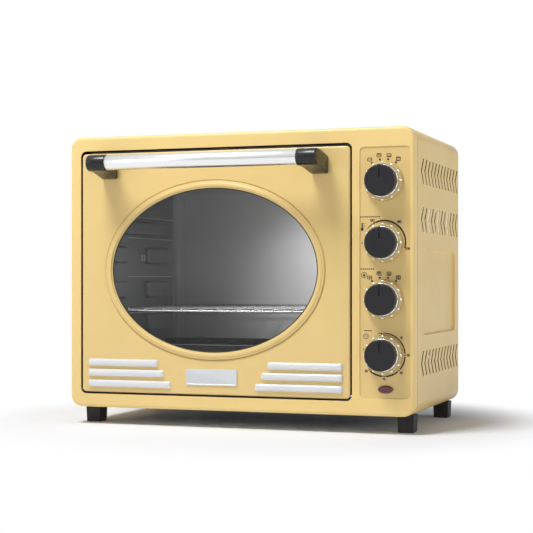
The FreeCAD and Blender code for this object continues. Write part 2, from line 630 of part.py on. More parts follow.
# Handle: aluminium tube between two moulded brackets.
finish("handle_tube", cut(cyl("x", S.capl_in, S.capr_in, S.tube_y, S.tube_z, S.tube_r),
                          cyl("x", S.capl_in - 5, S.capr_in + 5, S.tube_y, S.tube_z, S.tube_bore_r)))


def bracket(label, out_x, cap_in, foot_in):
    b = body_of(label)
    lo, hi = (out_x, foot_in) if out_x.value < foot_in.value else (foot_in, out_x)
    sk = sketch(b, "YZ_Plane", lo, [[(0, S.bracket_foot_low), (0, S.bracket_foot_high), (S.tube_y + 1.5, S.tube_z + S.cap_r - 0.3),
                                     (S.tube_y - 2, S.tube_z), (S.tube_y + 1.5, S.tube_z - S.cap_r + 0.3)]])
    pad(b, sk, hi - lo)
    body_fillet(b, lambda e: along("x")(e) and e.BoundBox.YMin > -1 and False or (inplane("x", lo)(e) or inplane("x", hi)(e)) and e.BoundBox.YMax - e.BoundBox.YMin > 5, 2.5)
    a, c2 = (out_x, cap_in) if out_x.value < cap_in.value else (cap_in, out_x)
    cap = fillet(cyl("x", a, c2, S.tube_y, S.tube_z, S.cap_r), inplane("x", out_x), 1.5)
    spig = cyl("x", cap_in - 1, cap_in + 16, S.tube_y, S.tube_z, S.tube_bore_r) if out_x.value < cap_in.value else \
        cyl("x", cap_in - 16, cap_in + 1, S.tube_y, S.tube_z, S.tube_bore_r)
    return fuse(b, cap, spig)


finish("handle_bracket_left", bracket("bracketleft", S.capl_out, S.capl_in, S.footl_in))
finish("handle_bracket_right", bracket("bracketright", S.capr_out, S.capr_in, S.footr_in))
hs = []
for a, b in ((S.capl_out, S.footl_in), (S.footr_in, S.capr_out)):
    x = (a + b) / 2
    hs.append(fillet(cyl("y", ds, ds + 2.8, x, 330.4, 4.2), inplane("y", ds + 2.8), 1.3))
finish("handle_screws", group(hs))


def bar(x0, x1, z):
    return fillet(rbox(x0, x1, -S.bar_proud, 0, z - S.bar_tall / 2, z + S.bar_tall / 2, "y", 2.6), inplane("y", -S.bar_proud), 2.4)


finish("trim_bars_left", group([bar(S.bar_left_start, S.bar_end_top, S.bar_row_top), bar(S.bar_left_start, S.bar_end_mid, S.bar_row_mid),
                                bar(S.bar_left_start, S.bar_end_low, S.bar_row_low)]))
finish("trim_bars_right", group([bar(S.bar_start_top, S.bar_right_end, S.bar_row_top), bar(S.bar_start_mid, S.bar_right_end, S.bar_row_mid),
                                 bar(S.bar_start_low, S.bar_right_end, S.bar_row_low)]))
finish("badge_plate", fillet(rbox(S.badge_left, S.badge_right, -S.badge_t, 0, S.badge_low, S.badge_high, "y", 0.8), inplane("y", -S.badge_t), 0.5))


# Stay arms: flat quadrants centred on the hinge line, through the collar slots.
def stay(label, x0):
    cx = x0
    ring = cut(cyl("x", cx, cx + 2, S.hinge_y, S.hinge_z, 59), cyl("x", cx - 5, cx + 7, S.hinge_y, S.hinge_z, 51))
    # keep the part behind the liner and above twelve degrees below the hinge line
    keep = body_of(label)
    far = 90.0
    a1, a0 = math.radians(84.0), math.radians(-12.0)
    pts = [(S.hinge_y, S.hinge_z), (S.hinge_y + far * math.cos(a0), S.hinge_z + far * math.sin(a0)),
           (S.hinge_y + far, S.hinge_z + far), (S.hinge_y + far * math.cos(a1), S.hinge_z + far * math.sin(a1))]
    sk = sketch(keep, "YZ_Plane", cx - 5, [pts])
    pad(keep, sk, 12)
    arc = common(ring, keep)
    tab = box(cx - 2, cx + 5, S.door_deep - ds - 1.2, S.door_deep - ds, S.hinge_z + 46, S.hinge_z + 63)
    return fuse(arc, tab)


finish("stay_arm_left", stay("stayleft", Dim(-222, "(-222)")))
finish("stay_arm_right", stay("stayright", Dim(150, "(150)")))

# ---------------------------------------------------------------- rack and trays

rx0, rx1 = S.window_x - 1.1 - S.rack_half, S.window_x - 1.1 + S.rack_half
rz = S.pad_b_high + 0.3 + S.rail_r
bz = rz + S.rack_lift
pieces = [cyl("y", S.rack_front, S.rack_back, x, rz, S.rail_r) for x in (rx0, rx1)]
for x in (rx0, rx1):
    for y, top in ((S.rack_front, bz), (S.rack_back, rz + S.rear_lift)):
        pieces.append(cyl("z", rz, top, x, y, S.rail_r - 0.1))
        for zz, r in ((rz, S.rail_r), (top, S.rail_r - 0.1)):
            ball = doc.addObject("Part::Sphere", fresh("ball"))
            bind(ball, "Radius", r)
            place(ball, x, y, zz)
            pieces.append(ball)
pieces += [cyl("x", rx0, rx1, y, bz, S.bar_r) for y in (S.rack_front, S.rack_back - 6)]
pieces += [cyl("y", S.rack_back - 7, S.rack_back, x, bz, S.bar_r - 0.2) for x in (rx0, rx1)]
pieces.append(cyl("x", rx0, rx1, S.rack_back, rz + S.rear_lift, S.bar_r))
for k in range(1, 12):
    x = rx0 + (2 * S.rack_half) * (k / 12.0)
    pieces.append(cyl("y", S.rack_front - 1.6, S.rack_back - 4.5, x, bz + S.bar_r + 0.8, S.wire_r))
finish("wire_rack", fuse(*pieces))

# Baking tray hung by its flange on the lowest runners.
tt = S.tray_t
bl, br = S.cav_left + 2, S.cav_right - 2
flz = S.pad_a_high + 0.3
pan_out = rbox(S.cav_left + 9, S.cav_right - 9, S.tray_front + 8, S.tray_back - 8, S.tray_bottom_z, flz + tt, "z", 14, ("z", S.tray_bottom_z), 6)
pan_in = rbox(S.cav_left + 9 + tt, S.cav_right - 9 - tt, S.tray_front + 8 + tt, S.tray_back - 8 - tt, S.tray_bottom_z + tt, flz + 20, "z", 14 - 0.8,
              ("z", S.tray_bottom_z + tt), 5.2)
lip_out = rbox(bl, br, S.tray_front, S.tray_back, flz, S.tray_lip_z, "z", 12)
lip_in = rbox(bl + tt, br - tt, S.tray_front + tt, S.tray_back - tt, flz + tt, S.tray_lip_z + 10, "z", 11.2)
roll = cut(rbox(bl, br, S.tray_front, S.tray_back, S.tray_lip_z - 1.6, S.tray_lip_z, "z", 12),
           rbox(bl + 2.2, br - 2.2, S.tray_front + 2.2, S.tray_back - 2.2, S.tray_lip_z - 5, S.tray_lip_z + 5, "z", 9.8))
finish("baking_tray", cut(fuse(cut(fuse(pan_out, lip_out), lip_in), roll), pan_in))

# Crumb tray on the cavity floor, under the lower rods.
kx0, kx1, ky0, ky1, kz = S.cav_left + 4, S.cav_right - 4, 24.0, 245.0, S.cav_low + 0.3
finish("crumb_tray", cut(rbox(kx0, kx1, ky0, ky1, kz, kz + 7, "z", 5), rbox(kx0 + tt, kx1 - tt, ky0 + tt, ky1 - tt, kz + tt, kz + 20, "z", 4.2)))

# ---------------------------------------------------------------- knobs


def turned(label, z, profile):
    """Round piece about the knob's axis, from a half profile of (radius, y) points."""
    b = body_of(label)
    revolve(b, sketch(b, "XY_Plane", 0, [profile]))
    place(b, S.knob_x, 0, z)
    return b


def knob(letter, z):
    y_base = S.front_t - 0.35
    skirt = turned("skirt" + letter, z, [(4.5, y_base), (S.skirt_r, y_base), (S.skirt_r, y_base - 1.6), (S.skirt_r - 0.7, y_base - 4.2),
                                         (S.stud_ring + 0.6, y_base - 7.4), (S.skirt_top_r, y_base - 9.2), (4.5, y_base - 9.2)])
    ring = turned("ring" + letter, z, [(10, y_base - 9.2), (S.ring_r, y_base - 9.2), (S.ring_r, y_base - 10.7), (10, y_base - 10.7)])
    studs = []
    for k in range(12):
        ang = math.radians(30 * k)
        stud = cyl("y", y_base - 9.3, y_base - 7.1, S.knob_x + S.stud_ring * math.cos(ang), z + S.stud_ring * math.sin(ang), S.stud_r)
        studs.append(fillet(stud, inplane("y", y_base - 9.3), 1.0))
    finish("knob_%s_skirt" % letter, cut(skirt, group(studs)))
    finish("knob_%s_trim" % letter, group([ring] + studs))
    front = S.knob_front
    back = y_base - 10.7
    cap = turned("cap" + letter, z, [(0, back), (S.knob_r, back), (S.knob_r, front + 1.6), (S.knob_r - 1.4, front + 0.2),
                                     (S.knob_r - 3.2, front), (0, front + 0.5)])
    sk = sketch(cap, "XZ_Plane", 5 - front, [[(0, 4), (2.6, S.knob_r - 3.4), (-2.6, S.knob_r - 3.4)]])
    pocket(cap, sk, 6.2)
    finish("knob_%s_cap" % letter, group([cap]))
    finish("knob_%s_shaft" % letter, fuse(cyl("y", y_base - 9.0, fb + 13, S.knob_x, z, S.shaft_r),
                                          cyl("y", y_base - 9.2, y_base - 0.5, S.knob_x, z, 4.45)))


for letter, z in zip("abcd", knob_z):
    knob(letter, z)

# ---------------------------------------------------------------- checks and export

doc.recompute()
bad = []
for o in doc.Objects:
    if "Invalid" in o.State or "Error" in o.State:
        bad.append("%s (%s): %s" % (o.Name, o.Label, o.State))
for o in parts:
    if o.Shape.isNull() or not o.Shape.isValid():
        bad.append("%s has no valid shape" % o.Label)
    elif not o.Shape.Solids:
        bad.append("%s has no solid" % o.Label)
if bad:
    print("\n".join(bad))
    raise SystemExit("the document has failed objects")
labels = [o.Label for o in parts]
if len(set(labels)) != len(labels) or len(labels) > 60:
    raise SystemExit("labels clash or too many: %d" % len(labels))
os.makedirs("parts", exist_ok=True)
whole = FreeCAD.BoundBox()
for o in parts:
    whole.add(o.Shape.BoundBox)
    o.Shape.exportStep("parts/%s.step" % o.Label)
print("pieces", len(parts))
print("box x %.2f %.2f  y %.2f %.2f  z %.2f %.2f" % (whole.XMin, whole.XMax, whole.YMin, whole.YMax, whole.ZMin, whole.ZMax))
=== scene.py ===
import math

import bpy
from mathutils import Matrix, Vector


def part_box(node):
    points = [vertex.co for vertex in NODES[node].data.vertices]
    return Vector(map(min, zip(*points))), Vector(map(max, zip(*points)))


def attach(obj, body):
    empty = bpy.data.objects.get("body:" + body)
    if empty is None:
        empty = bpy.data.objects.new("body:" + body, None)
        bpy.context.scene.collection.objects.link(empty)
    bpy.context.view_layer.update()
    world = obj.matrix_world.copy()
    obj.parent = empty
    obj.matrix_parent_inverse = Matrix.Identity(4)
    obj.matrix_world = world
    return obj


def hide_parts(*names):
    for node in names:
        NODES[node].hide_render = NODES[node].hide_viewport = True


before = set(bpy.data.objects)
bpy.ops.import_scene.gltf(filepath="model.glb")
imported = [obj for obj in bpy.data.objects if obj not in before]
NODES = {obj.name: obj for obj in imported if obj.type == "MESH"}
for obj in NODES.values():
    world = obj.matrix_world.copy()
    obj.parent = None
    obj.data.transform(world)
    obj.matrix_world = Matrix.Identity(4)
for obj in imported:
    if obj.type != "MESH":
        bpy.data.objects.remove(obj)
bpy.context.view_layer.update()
TAU = 2 * math.pi

# ---------------------------------------------------------------- reference frame of the casing
f_lo, f_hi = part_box("front_frame")
X0 = (f_lo[0] + f_hi[0]) / 2
YF = f_lo[1]
ZB = f_lo[2]


def P(x, y, z):
    """Casing millimetres (centre line, front sheet, underside) to scene metres."""
    return Vector((X0 + x * 0.001, YF + y * 0.001, ZB + z * 0.001))


def mm_box(node):
    lo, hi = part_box(node)
    return ((lo[0] - X0) * 1000, (hi[0] - X0) * 1000, (lo[1] - YF) * 1000, (hi[1] - YF) * 1000,
            (lo[2] - ZB) * 1000, (hi[2] - ZB) * 1000)


# ---------------------------------------------------------------- materials

def lin(r, g, b):
    def c(v):
        v /= 255.0
        return v / 12.92 if v <= 0.04045 else ((v + 0.055) / 1.055) ** 2.4
    return (c(r), c(g), c(b), 1.0)


class Mat:
    def __init__(self, name):
        self.m = bpy.data.materials.new(name)
        self.m.use_nodes = True
        self.t = self.m.node_tree
        self.t.nodes.clear()
        self.out = self.t.nodes.new("ShaderNodeOutputMaterial")
        self.p = self.t.nodes.new("ShaderNodeBsdfPrincipled")
        self.t.links.new(self.p.outputs[0], self.out.inputs[0])
        self.co = self.t.nodes.new("ShaderNodeTexCoord")
        self.normal = None

    def set(self, **kw):
        for k, v in kw.items():
            self.p.inputs[k.replace("_", " ")].default_value = v
        return self

    def noise(self, scale, detail=4.0, rough=0.55, stretch=(1, 1, 1)):
        mp = self.t.nodes.new("ShaderNodeMapping")
        mp.inputs["Scale"].default_value = stretch
        self.t.links.new(self.co.outputs["Object"], mp.inputs[0])
        n = self.t.nodes.new("ShaderNodeTexNoise")
        n.inputs["Scale"].default_value = scale
        n.inputs["Detail"].default_value = detail
        n.inputs["Roughness"].default_value = rough
        self.t.links.new(mp.outputs[0], n.inputs["Vector"])
        return n

    def ramp(self, src, a, b, lo=0.35, hi=0.65):
        r = self.t.nodes.new("ShaderNodeMapRange")
        r.inputs["From Min"].default_value = lo
        r.inputs["From Max"].default_value = hi
        r.inputs["To Min"].default_value = a
        r.inputs["To Max"].default_value = b
        self.t.links.new(src, r.inputs["Value"])
        return r.outputs[0]

    def colour(self, src, c1, c2, lo=0.3, hi=0.7):
        r = self.t.nodes.new("ShaderNodeValToRGB")
        r.color_ramp.elements[0].position = lo
        r.color_ramp.elements[0].color = c1
        r.color_ramp.elements[1].position = hi
        r.color_ramp.elements[1].color = c2
        self.t.links.new(src, r.inputs[0])
        self.t.links.new(r.outputs[0], self.p.inputs["Base Color"])
        return self

    def roughness(self, src, a, b):
        self.t.links.new(self.ramp(src, a, b), self.p.inputs["Roughness"])
        return self

    def bump(self, src, strength, dist):
        b = self.t.nodes.new("ShaderNodeBump")
        b.inputs["Strength"].default_value = strength
        b.inputs["Distance"].default_value = dist
        self.t.links.new(src, b.inputs["Height"])
        if self.normal:
            self.t.links.new(self.normal, b.inputs["Normal"])
        self.normal = b.outputs[0]
        self.t.links.new(self.normal, self.p.inputs["Normal"])
        return self


def scaled(c, k):
    return (c[0] * k, c[1] * k, c[2] * k, 1.0)


def paint(name, c, var=0.025, rough=(0.30, 0.40), coat=0.35):
    m = Mat(name).set(Coat_Weight=coat, Coat_Roughness=0.12, IOR=1.5)
    big = m.noise(7.0, 3.0)
    m.colour(big.outputs[0], scaled(c, 1 - var), scaled(c, 1 + var))
    m.roughness(m.noise(30.0, 4.0).outputs[0], *rough)
    m.bump(m.noise(650.0, 2.0, 0.4).outputs[0], 0.10, 0.00012)
    m.bump(m.noise(60.0, 2.0).outputs[0], 0.06, 0.0004)
    return m.m


def metal(name, c, rough, stretch=(1, 1, 1), grain=900.0, grain_depth=0.00004, var=0.06, aniso=0.0, metallic=1.0, strength=0.25):
    m = Mat(name).set(Metallic=metallic, Anisotropic=aniso)
    big = m.noise(11.0, 5.0)
    m.colour(big.outputs[0], scaled(c, 1 - var), scaled(c, 1 + var))
    g = m.noise(grain, 3.0, 0.6, stretch)
    m.roughness(g.outputs[0], *rough)
    m.bump(g.outputs[0], strength, grain_depth)
    return m.m


def plastic(name, c, rough=(0.38, 0.5), grain=1400.0, depth=0.00006, coat=0.0, strength=0.3, var=0.08):
    m = Mat(name).set(Coat_Weight=coat, Coat_Roughness=0.08)
    m.colour(m.noise(25.0, 4.0).outputs[0], scaled(c, 1 - var), scaled(c, 1 + var))
    m.roughness(m.noise(80.0, 4.0).outputs[0], *rough)
    m.bump(m.noise(grain, 2.0).outputs[0], strength, depth)
    return m.m


CREAM = (0.815, 0.595, 0.235, 1.0)
cream = paint("cream_enamel", CREAM)
# the frame and the wrap take lighter copies, the fascia a darker copy of the one cream paint: painted light on frame
# and wrap, painted shade on the fascia
cream_frame_painted_light = paint("cream_enamel_frame_painted_light", scaled(CREAM, 1.09), rough=(0.40, 0.50), coat=0.08)
cream_side_painted_light = paint("cream_enamel_wrap_painted_light", scaled(CREAM, 1.02), rough=(0.42, 0.52), coat=0.08)
cream_fascia_painted_shade = paint("cream_enamel_fascia_painted_shade", scaled(CREAM, 0.955), rough=(0.36, 0.46), coat=0.2)
black_plastic = plastic("handle_black_moulding", (0.010, 0.010, 0.011, 1), rough=(0.24, 0.30), grain=900.0, depth=0.00001, coat=0.0, strength=0.05)
for n_ in black_plastic.node_tree.nodes:
    if n_.type == "BSDF_PRINCIPLED":
        n_.inputs["Specular IOR Level"].default_value = 0.42
knob_black = plastic("knob_charcoal_moulding", (0.019, 0.019, 0.022, 1), rough=(0.34, 0.44), grain=1500.0, depth=0.00005)
foot_black = plastic("foot_rubber", (0.014, 0.014, 0.015, 1), rough=(0.55, 0.7), grain=700.0, depth=0.0001)
control_black = plastic("control_moulding", (0.05, 0.05, 0.055, 1))
for n_ in knob_black.node_tree.nodes:
    if n_.type == "BSDF_PRINCIPLED":
        n_.inputs["Specular IOR Level"].default_value = 0.28
white_gloss = plastic("white_gloss_moulding", (0.76, 0.765, 0.79, 1), rough=(0.14, 0.2), grain=300.0, depth=0.00002, coat=0.5, strength=0.1, var=0.01)
knob_cream = plastic("knob_cream_moulding", (0.56, 0.42, 0.175, 1), rough=(0.22, 0.32), grain=500.0, depth=0.00003, coat=0.3, var=0.03)
ring_chrome = metal("bright_plating", (0.93, 0.93, 0.93, 1), (0.10, 0.18), grain=1200.0, grain_depth=0.00001, var=0.02)
tube_alu = metal("brushed_tube", (0.88, 0.885, 0.89, 1), (0.24, 0.30), stretch=(0.02, 1, 1), grain=300.0, grain_depth=0.000001, var=0.01, strength=0.01)
badge_alu = metal("badge_brushed", (0.72, 0.75, 0.78, 1), (0.34, 0.46), stretch=(0.02, 1, 1), grain=3000.0, grain_depth=0.00002, var=0.02)
zinc = metal("zinc_sheet", (0.55, 0.56, 0.57, 1), (0.34, 0.5), grain=350.0, grain_depth=0.00004, var=0.12)
screw_steel = metal("nickel_screw", (0.62, 0.62, 0.63, 1), (0.22, 0.34), grain=900.0, grain_depth=0.00002)
liner_dark = metal("door_liner_steel", (0.20, 0.20, 0.205, 1), (0.35, 0.5), grain=500.0, grain_depth=0.00003, var=0.1)
cavity = metal("cavity_aluminised", (0.42, 0.42, 0.425, 1), (0.30, 0.40), stretch=(1, 1, 0.15), grain=1600.0, grain_depth=0.00001, var=0.08, strength=0.1)
# the back wall takes a lighter copy, the side walls a darker copy of the same cavity sheet: painted light on the back
# wall, painted shade on the side walls
cavity_back_lit = metal("cavity_back_painted_light", (0.66, 0.66, 0.665, 1), (0.38, 0.48), grain=9.0, grain_depth=0.000001, var=0.04, metallic=0.55, strength=0.01)
cavity_side_shaded = metal("cavity_side_painted_shade", (0.24, 0.24, 0.243, 1), (0.30, 0.40), grain=9.0, grain_depth=0.000001, var=0.04, metallic=0.55, strength=0.01)
rod = metal("rod_sheath", (0.24, 0.23, 0.22, 1), (0.4, 0.55), grain=500.0, grain_depth=0.00006, var=0.25)
rack_chrome = metal("rack_plating", (0.62, 0.62, 0.62, 1), (0.22, 0.34), grain=600.0, grain_depth=0.000002, var=0.04, metallic=0.9, strength=0.02)
tray_alu = metal("crumb_tray_sheet", (0.55, 0.55, 0.56, 1), (0.36, 0.5), stretch=(0.05, 1, 1), grain=1500.0, grain_depth=0.00003, var=0.08)
ceramic = plastic("steatite", (0.72, 0.69, 0.62, 1), rough=(0.5, 0.65), grain=800.0, depth=0.00008)
nylon = plastic("nylon_holder", (0.62, 0.58, 0.50, 1))
brass = metal("turned_brass", (0.62, 0.46, 0.18, 1), (0.25, 0.4), stretch=(1, 0.1, 1), grain=1200.0)
print_black = plastic("printed_ink", (0.012, 0.011, 0.010, 1), rough=(0.45, 0.55), grain=2000.0, depth=0.00001)

m = Mat("black_vitreous_enamel")
m.colour(m.noise(14.0, 4.0).outputs[0], (0.010, 0.010, 0.011, 1), (0.014, 0.014, 0.015, 1))
m.roughness(m.noise(40.0, 3.0).outputs[0], 0.42, 0.5)
m.p.inputs["Specular IOR Level"].default_value = 0.3
enamel = m.m

m = Mat("pilot_red").set(Coat_Weight=0.8, Coat_Roughness=0.05, Emission_Color=(0.5, 0.02, 0.02, 1), Emission_Strength=0.02)
v = m.t.nodes.new("ShaderNodeTexVoronoi")
v.inputs["Scale"].default_value = 620.0
m.t.links.new(m.co.outputs["Object"], v.inputs["Vector"])
m.colour(v.outputs["Distance"], (0.16, 0.010, 0.014, 1), (0.075, 0.005, 0.008, 1), 0.0, 0.8)
m.roughness(m.noise(90.0, 3.0).outputs[0], 0.16, 0.26)
m.bump(v.outputs["Distance"], 0.35, 0.0003)
red_lens = m.m

m = Mat("door_glass_clear").set(Alpha=0.05, Roughness=0.02, IOR=1.5, Coat_Weight=0.0)
gn = m.noise(5.0, 2.0)
m.colour(gn.outputs[0], (0.30, 0.31, 0.31, 1), (0.34, 0.35, 0.35, 1))
m.bump(m.noise(18.0, 1.0).outputs[0], 0.02, 0.0005)
glass = m.m
glass.surface_render_method = "BLENDED"

BY_NODE = {
    "front_frame": cream_frame_painted_light, "housing_wrap": cream_side_painted_light, "control_fascia": cream_fascia_painted_shade, "door_outer_panel": cream,
    "base_plate": zinc, "rear_panel": zinc, "rear_screws": screw_steel, "feet": foot_black,
    "cavity_left_wall": cavity_side_shaded, "cavity_right_wall": cavity_side_shaded, "cavity_roof": cavity, "cavity_floor": cavity,
    "cavity_back_wall": cavity_back_lit, "cavity_collar": liner_dark, "door_inner_panel": liner_dark,
    "upper_heating_rods": rod, "lower_heating_rods": rod, "rod_insulators": ceramic,
    "fan_cowl": zinc, "fan_motor": zinc, "fan_impeller": zinc,
    "function_switch": control_black, "thermostat": control_black, "convection_switch": control_black, "timer": control_black,
    "pilot_lamp": nylon, "pilot_lens": red_lens, "cord_gland": control_black, "hinge_brackets": zinc,
    "door_glass": glass, "glass_clips": zinc, "handle_tube": tube_alu,
    "handle_bracket_left": black_plastic, "handle_bracket_right": black_plastic, "handle_screws": screw_steel,
    "trim_bars_left": white_gloss, "trim_bars_right": white_gloss, "badge_plate": badge_alu,
    "stay_arm_left": zinc, "stay_arm_right": zinc, "wire_rack": rack_chrome, "baking_tray": enamel, "crumb_tray": tray_alu,
}
for k in "abcd":
    BY_NODE["knob_%s_skirt" % k] = knob_cream
    BY_NODE["knob_%s_trim" % k] = ring_chrome
    BY_NODE["knob_%s_cap" % k] = knob_black
    BY_NODE["knob_%s_shaft" % k] = brass

BEVEL = {"housing_wrap": 0.0005, "front_frame": 0.0004, "control_fascia": 0.0003, "feet": 0.0012, "door_inner_panel": 0.0003,
         "badge_plate": 0.0002, "rear_panel": 0.0004, "base_plate": 0.0003, "cavity_collar": 0.0003, "stay_arm_left": 0.0003,
         "stay_arm_right": 0.0003, "crumb_tray": 0.0003}


def smooth_node(o, width=None):
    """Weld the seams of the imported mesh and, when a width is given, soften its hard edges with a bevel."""
    w = o.modifiers.new("weld", "WELD")
    w.merge_threshold = 1e-6
    if width:
        b = o.modifiers.new("bevel", "BEVEL")
        b.width = width
        b.segments = 2
        b.limit_method = "ANGLE"
        b.angle_limit = math.radians(50)
        b.harden_normals = False


for name, mat in BY_NODE.items():
    o = NODES[name]
    for s in o.material_slots:
        s.material = mat
    if name in BEVEL:
        smooth_node(o, BEVEL[name])

# ---------------------------------------------------------------- mesh helpers


def mesh_piece(name, verts, faces, mat, body, smooth_angle=35, recalc=True):
    me = bpy.data.meshes.new(name)
    me.from_pydata([tuple(v) for v in verts], [], faces)
    me.validate()
    if recalc:
        import bmesh
        bm = bmesh.new()
        bm.from_mesh(me)
        bmesh.ops.recalc_face_normals(bm, faces=bm.faces)
        bm.to_mesh(me)
        bm.free()
    me.shade_smooth()
    me.set_sharp_from_angle(angle=math.radians(smooth_angle))
    o = bpy.data.objects.new(name, me)
    bpy.context.scene.collection.objects.link(o)
    me.materials.append(mat)
    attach(o, body)
    return o


def stack(loops, closed=True):
    """Quads between consecutive loops of equal length; closed joins the last loop to the first."""
    n = len(loops[0])
    verts = [v for lp in loops for v in lp]
    faces = []
    count = len(loops)
    for i in range(count if closed else count - 1):
        a, b = i * n, ((i + 1) % count) * n
        for j in range(n):
            k = (j + 1) % n
            faces.append((a + j, a + k, b + k, b + j))
    return verts, faces


def lathe(profile, x, z, segs=96, cap_first=False, cap_last=False):
    """Turned surface about an axis along y through (x, z); profile is (radius, y) in casing mm."""
    loops = []
    for r, y in profile:
        loops.append([P(x + r * math.cos(TAU * j / segs), y, z + r * math.sin(TAU * j / segs)) for j in range(segs)])
    verts, faces = stack(loops, closed=False)
    for flag, at in ((cap_first, 0), (cap_last, len(profile) - 1)):
        if flag:
            faces.append(tuple(at * segs + j for j in range(segs)))
    return verts, faces


def join(parts):
    verts, faces = [], []
    for v, f in parts:
        base = len(verts)
        verts += v
        faces += [tuple(i + base for i in q) for q in f]
    return verts, faces


# ---------------------------------------------------------------- door skin with its raised oval rim
gx0, gx1, _, _, gz0, gz1 = mm_box("door_glass")
WX, WZ = (gx0 + gx1) / 2, (gz0 + gz1) / 2
WA, WB = 149.5, 112.0
dx0, dx1, _, dy1, dz0, dz1 = mm_box("door_outer_panel")


def rounded(x0, x1, z0, z1, r, inset, per_side=44, per_corner=10):
    """Points round a rounded rectangle; the same counts whatever the inset."""
    x0, x1, z0, z1 = x0 + inset, x1 - inset, z0 + inset, z1 - inset
    r = max(r - inset, 0.4)
    pts = []
    corners = ((x1 - r, z1 - r, 0), (x0 + r, z1 - r, 90), (x0 + r, z0 + r, 180), (x1 - r, z0 + r, 270))
    for c in range(4):
        cx, cz, a0 = corners[c]
        for i in range(per_corner + 1):
            a = math.radians(a0 + 90.0 * i / per_corner)
            pts.append((cx + r * math.cos(a), cz + r * math.sin(a)))
        nx, nz, na = corners[(c + 1) % 4]
        end = (nx + r * math.cos(math.radians(na)), nz + r * math.sin(math.radians(na)))
        sx, sz = pts[-1]
        for i in range(1, per_side):
            f = i / per_side
            pts.append((sx + (end[0] - sx) * f, sz + (end[1] - sz) * f))
    return pts


edge = rounded(dx0 - 0.5, dx1, dz0, dz1 - 1.2, 6.0, 0.0)
angles = [math.atan2((z - WZ) / WB, (x - WX) / WA) for x, z in edge]


def oval(s):
    out = []
    for t in angles:
        ex, ez = WA * math.cos(t), WB * math.sin(t)
        nx, nz = ex / (WA * WA), ez / (WB * WB)
        ln = math.hypot(nx, nz)
        out.append((WX + ex + s * nx / ln, WZ + ez + s * nz / ln))
    return out


RIM = [(0.0, 0.8), (0.0, 0.3), (0.1, 0.1), (0.4, 0.0), (0.9, -0.05), (1.3, -0.2), (1.5, -0.6), (1.65, -1.5), (1.9, -2.3), (2.4, -2.7),
       (3.2, -2.85), (4.2, -2.9), (5.4, -2.85), (6.2, -2.7), (6.7, -2.35), (7.0, -1.9), (7.25, -1.72), (7.6, -1.75), (8.2, -1.85), (8.9, -1.8),
       (9.4, -1.5), (9.7, -0.8), (9.9, 0.2), (10.1, 0.8), (10.5, 1.0), (10.9, 0.8), (11.15, 0.25), (11.5, 0.0), (12.4, 0.0)]
loops = [[P(x, y, z) for x, z in oval(s)] for s, y in RIM]
inner_ring = oval(12.4)
flat_edge = rounded(dx0 - 0.5, dx1, dz0, dz1 - 1.2, 6.0, 3.2)
for f in (0.33, 0.66):
    loops.append([P(a[0] + (b[0] - a[0]) * f, 0, a[1] + (b[1] - a[1]) * f) for a, b in zip(inner_ring, flat_edge)])
loops.append([P(x, 0, z) for x, z in flat_edge])
for i in range(0, 7):
    a = math.radians(15 * i)
    loops.append([P(x, 2.5 - 2.5 * math.cos(a), z) for x, z in rounded(dx0 - 0.5, dx1, dz0, dz1 - 1.2, 6.0, 2.5 - 2.5 * math.sin(a))])
loops.append([P(x, dy1 - 0.2, z) for x, z in edge])
loops.append([P(x, dy1, z) for x, z in rounded(dx0 - 0.5, dx1, dz0, dz1 - 1.2, 6.0, 0.2)])
loops.append([P(x, dy1, z) for x, z in rounded(dx0 - 0.5, dx1, dz0, dz1 - 1.2, 6.0, 0.8)])
loops.append([P(x, 2.5, z) for x, z in rounded(dx0 - 0.5, dx1, dz0, dz1 - 1.2, 6.0, 0.8)])
loops.append([P(x, 0.8, z) for x, z in rounded(dx0 - 0.5, dx1, dz0, dz1 - 1.2, 6.0, 3.0)])
v, f = stack(loops)
door = mesh_piece("door_skin_pressed", v, f, cream, "door", 40)
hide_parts("door_outer_panel")


def drill(o, bores):
    """Cuts round holes along x; bores holds (x0, x1, y, z, radius) in casing mm."""
    parts = []
    for x0, x1, y, z, r in bores:
        ring = [(y + r * math.cos(TAU * j / 48), z + r * math.sin(TAU * j / 48)) for j in range(48)]
        v, f = stack([[P(x, a, b) for a, b in ring] for x in (x0, x1)], closed=False)
        parts.append((v, f + [tuple(range(48)), tuple(range(48, 96))]))
    v, f = join(parts)
    me = bpy.data.meshes.new("bore_cutter")
    me.from_pydata([tuple(q) for q in v], [], f)
    import bmesh
    bm = bmesh.new()
    bm.from_mesh(me)
    bmesh.ops.recalc_face_normals(bm, faces=bm.faces)
    bm.to_mesh(me)
    bm.free()
    cutter = bpy.data.objects.new("bore_cutter", me)
    bpy.context.scene.collection.objects.link(cutter)
    mod = o.modifiers.new("bores", "BOOLEAN")
    mod.operation = "DIFFERENCE"
    mod.solver = "EXACT"
    mod.object = cutter
    cut_mesh = bpy.data.meshes.new_from_object(o.evaluated_get(bpy.context.evaluated_depsgraph_get()))
    o.modifiers.remove(mod)
    o.data = cut_mesh
    bpy.data.objects.remove(cutter)
    bpy.data.meshes.remove(me)


# the hinge pins stand in these two holes
drill(door, [(dx0 - 3, dx0 + 3, 4.0, 25.0, 1.6), (dx1 - 3, dx1 + 3, 4.0, 25.0, 1.6)])
# the door's side returns behind its front edge are coloured near-black: painted shade in the door gap
gap_painted_shade = plastic("door_gap_painted_shade", (0.010, 0.009, 0.008, 1), rough=(0.6, 0.7), grain=500.0)
door.data.materials.append(gap_painted_shade)
y_in = P(0, 2.2, 0).y
for poly in door.data.polygons:
    if min(door.data.vertices[i].co.y for i in poly.vertices) > y_in:
        poly.material_index = 1

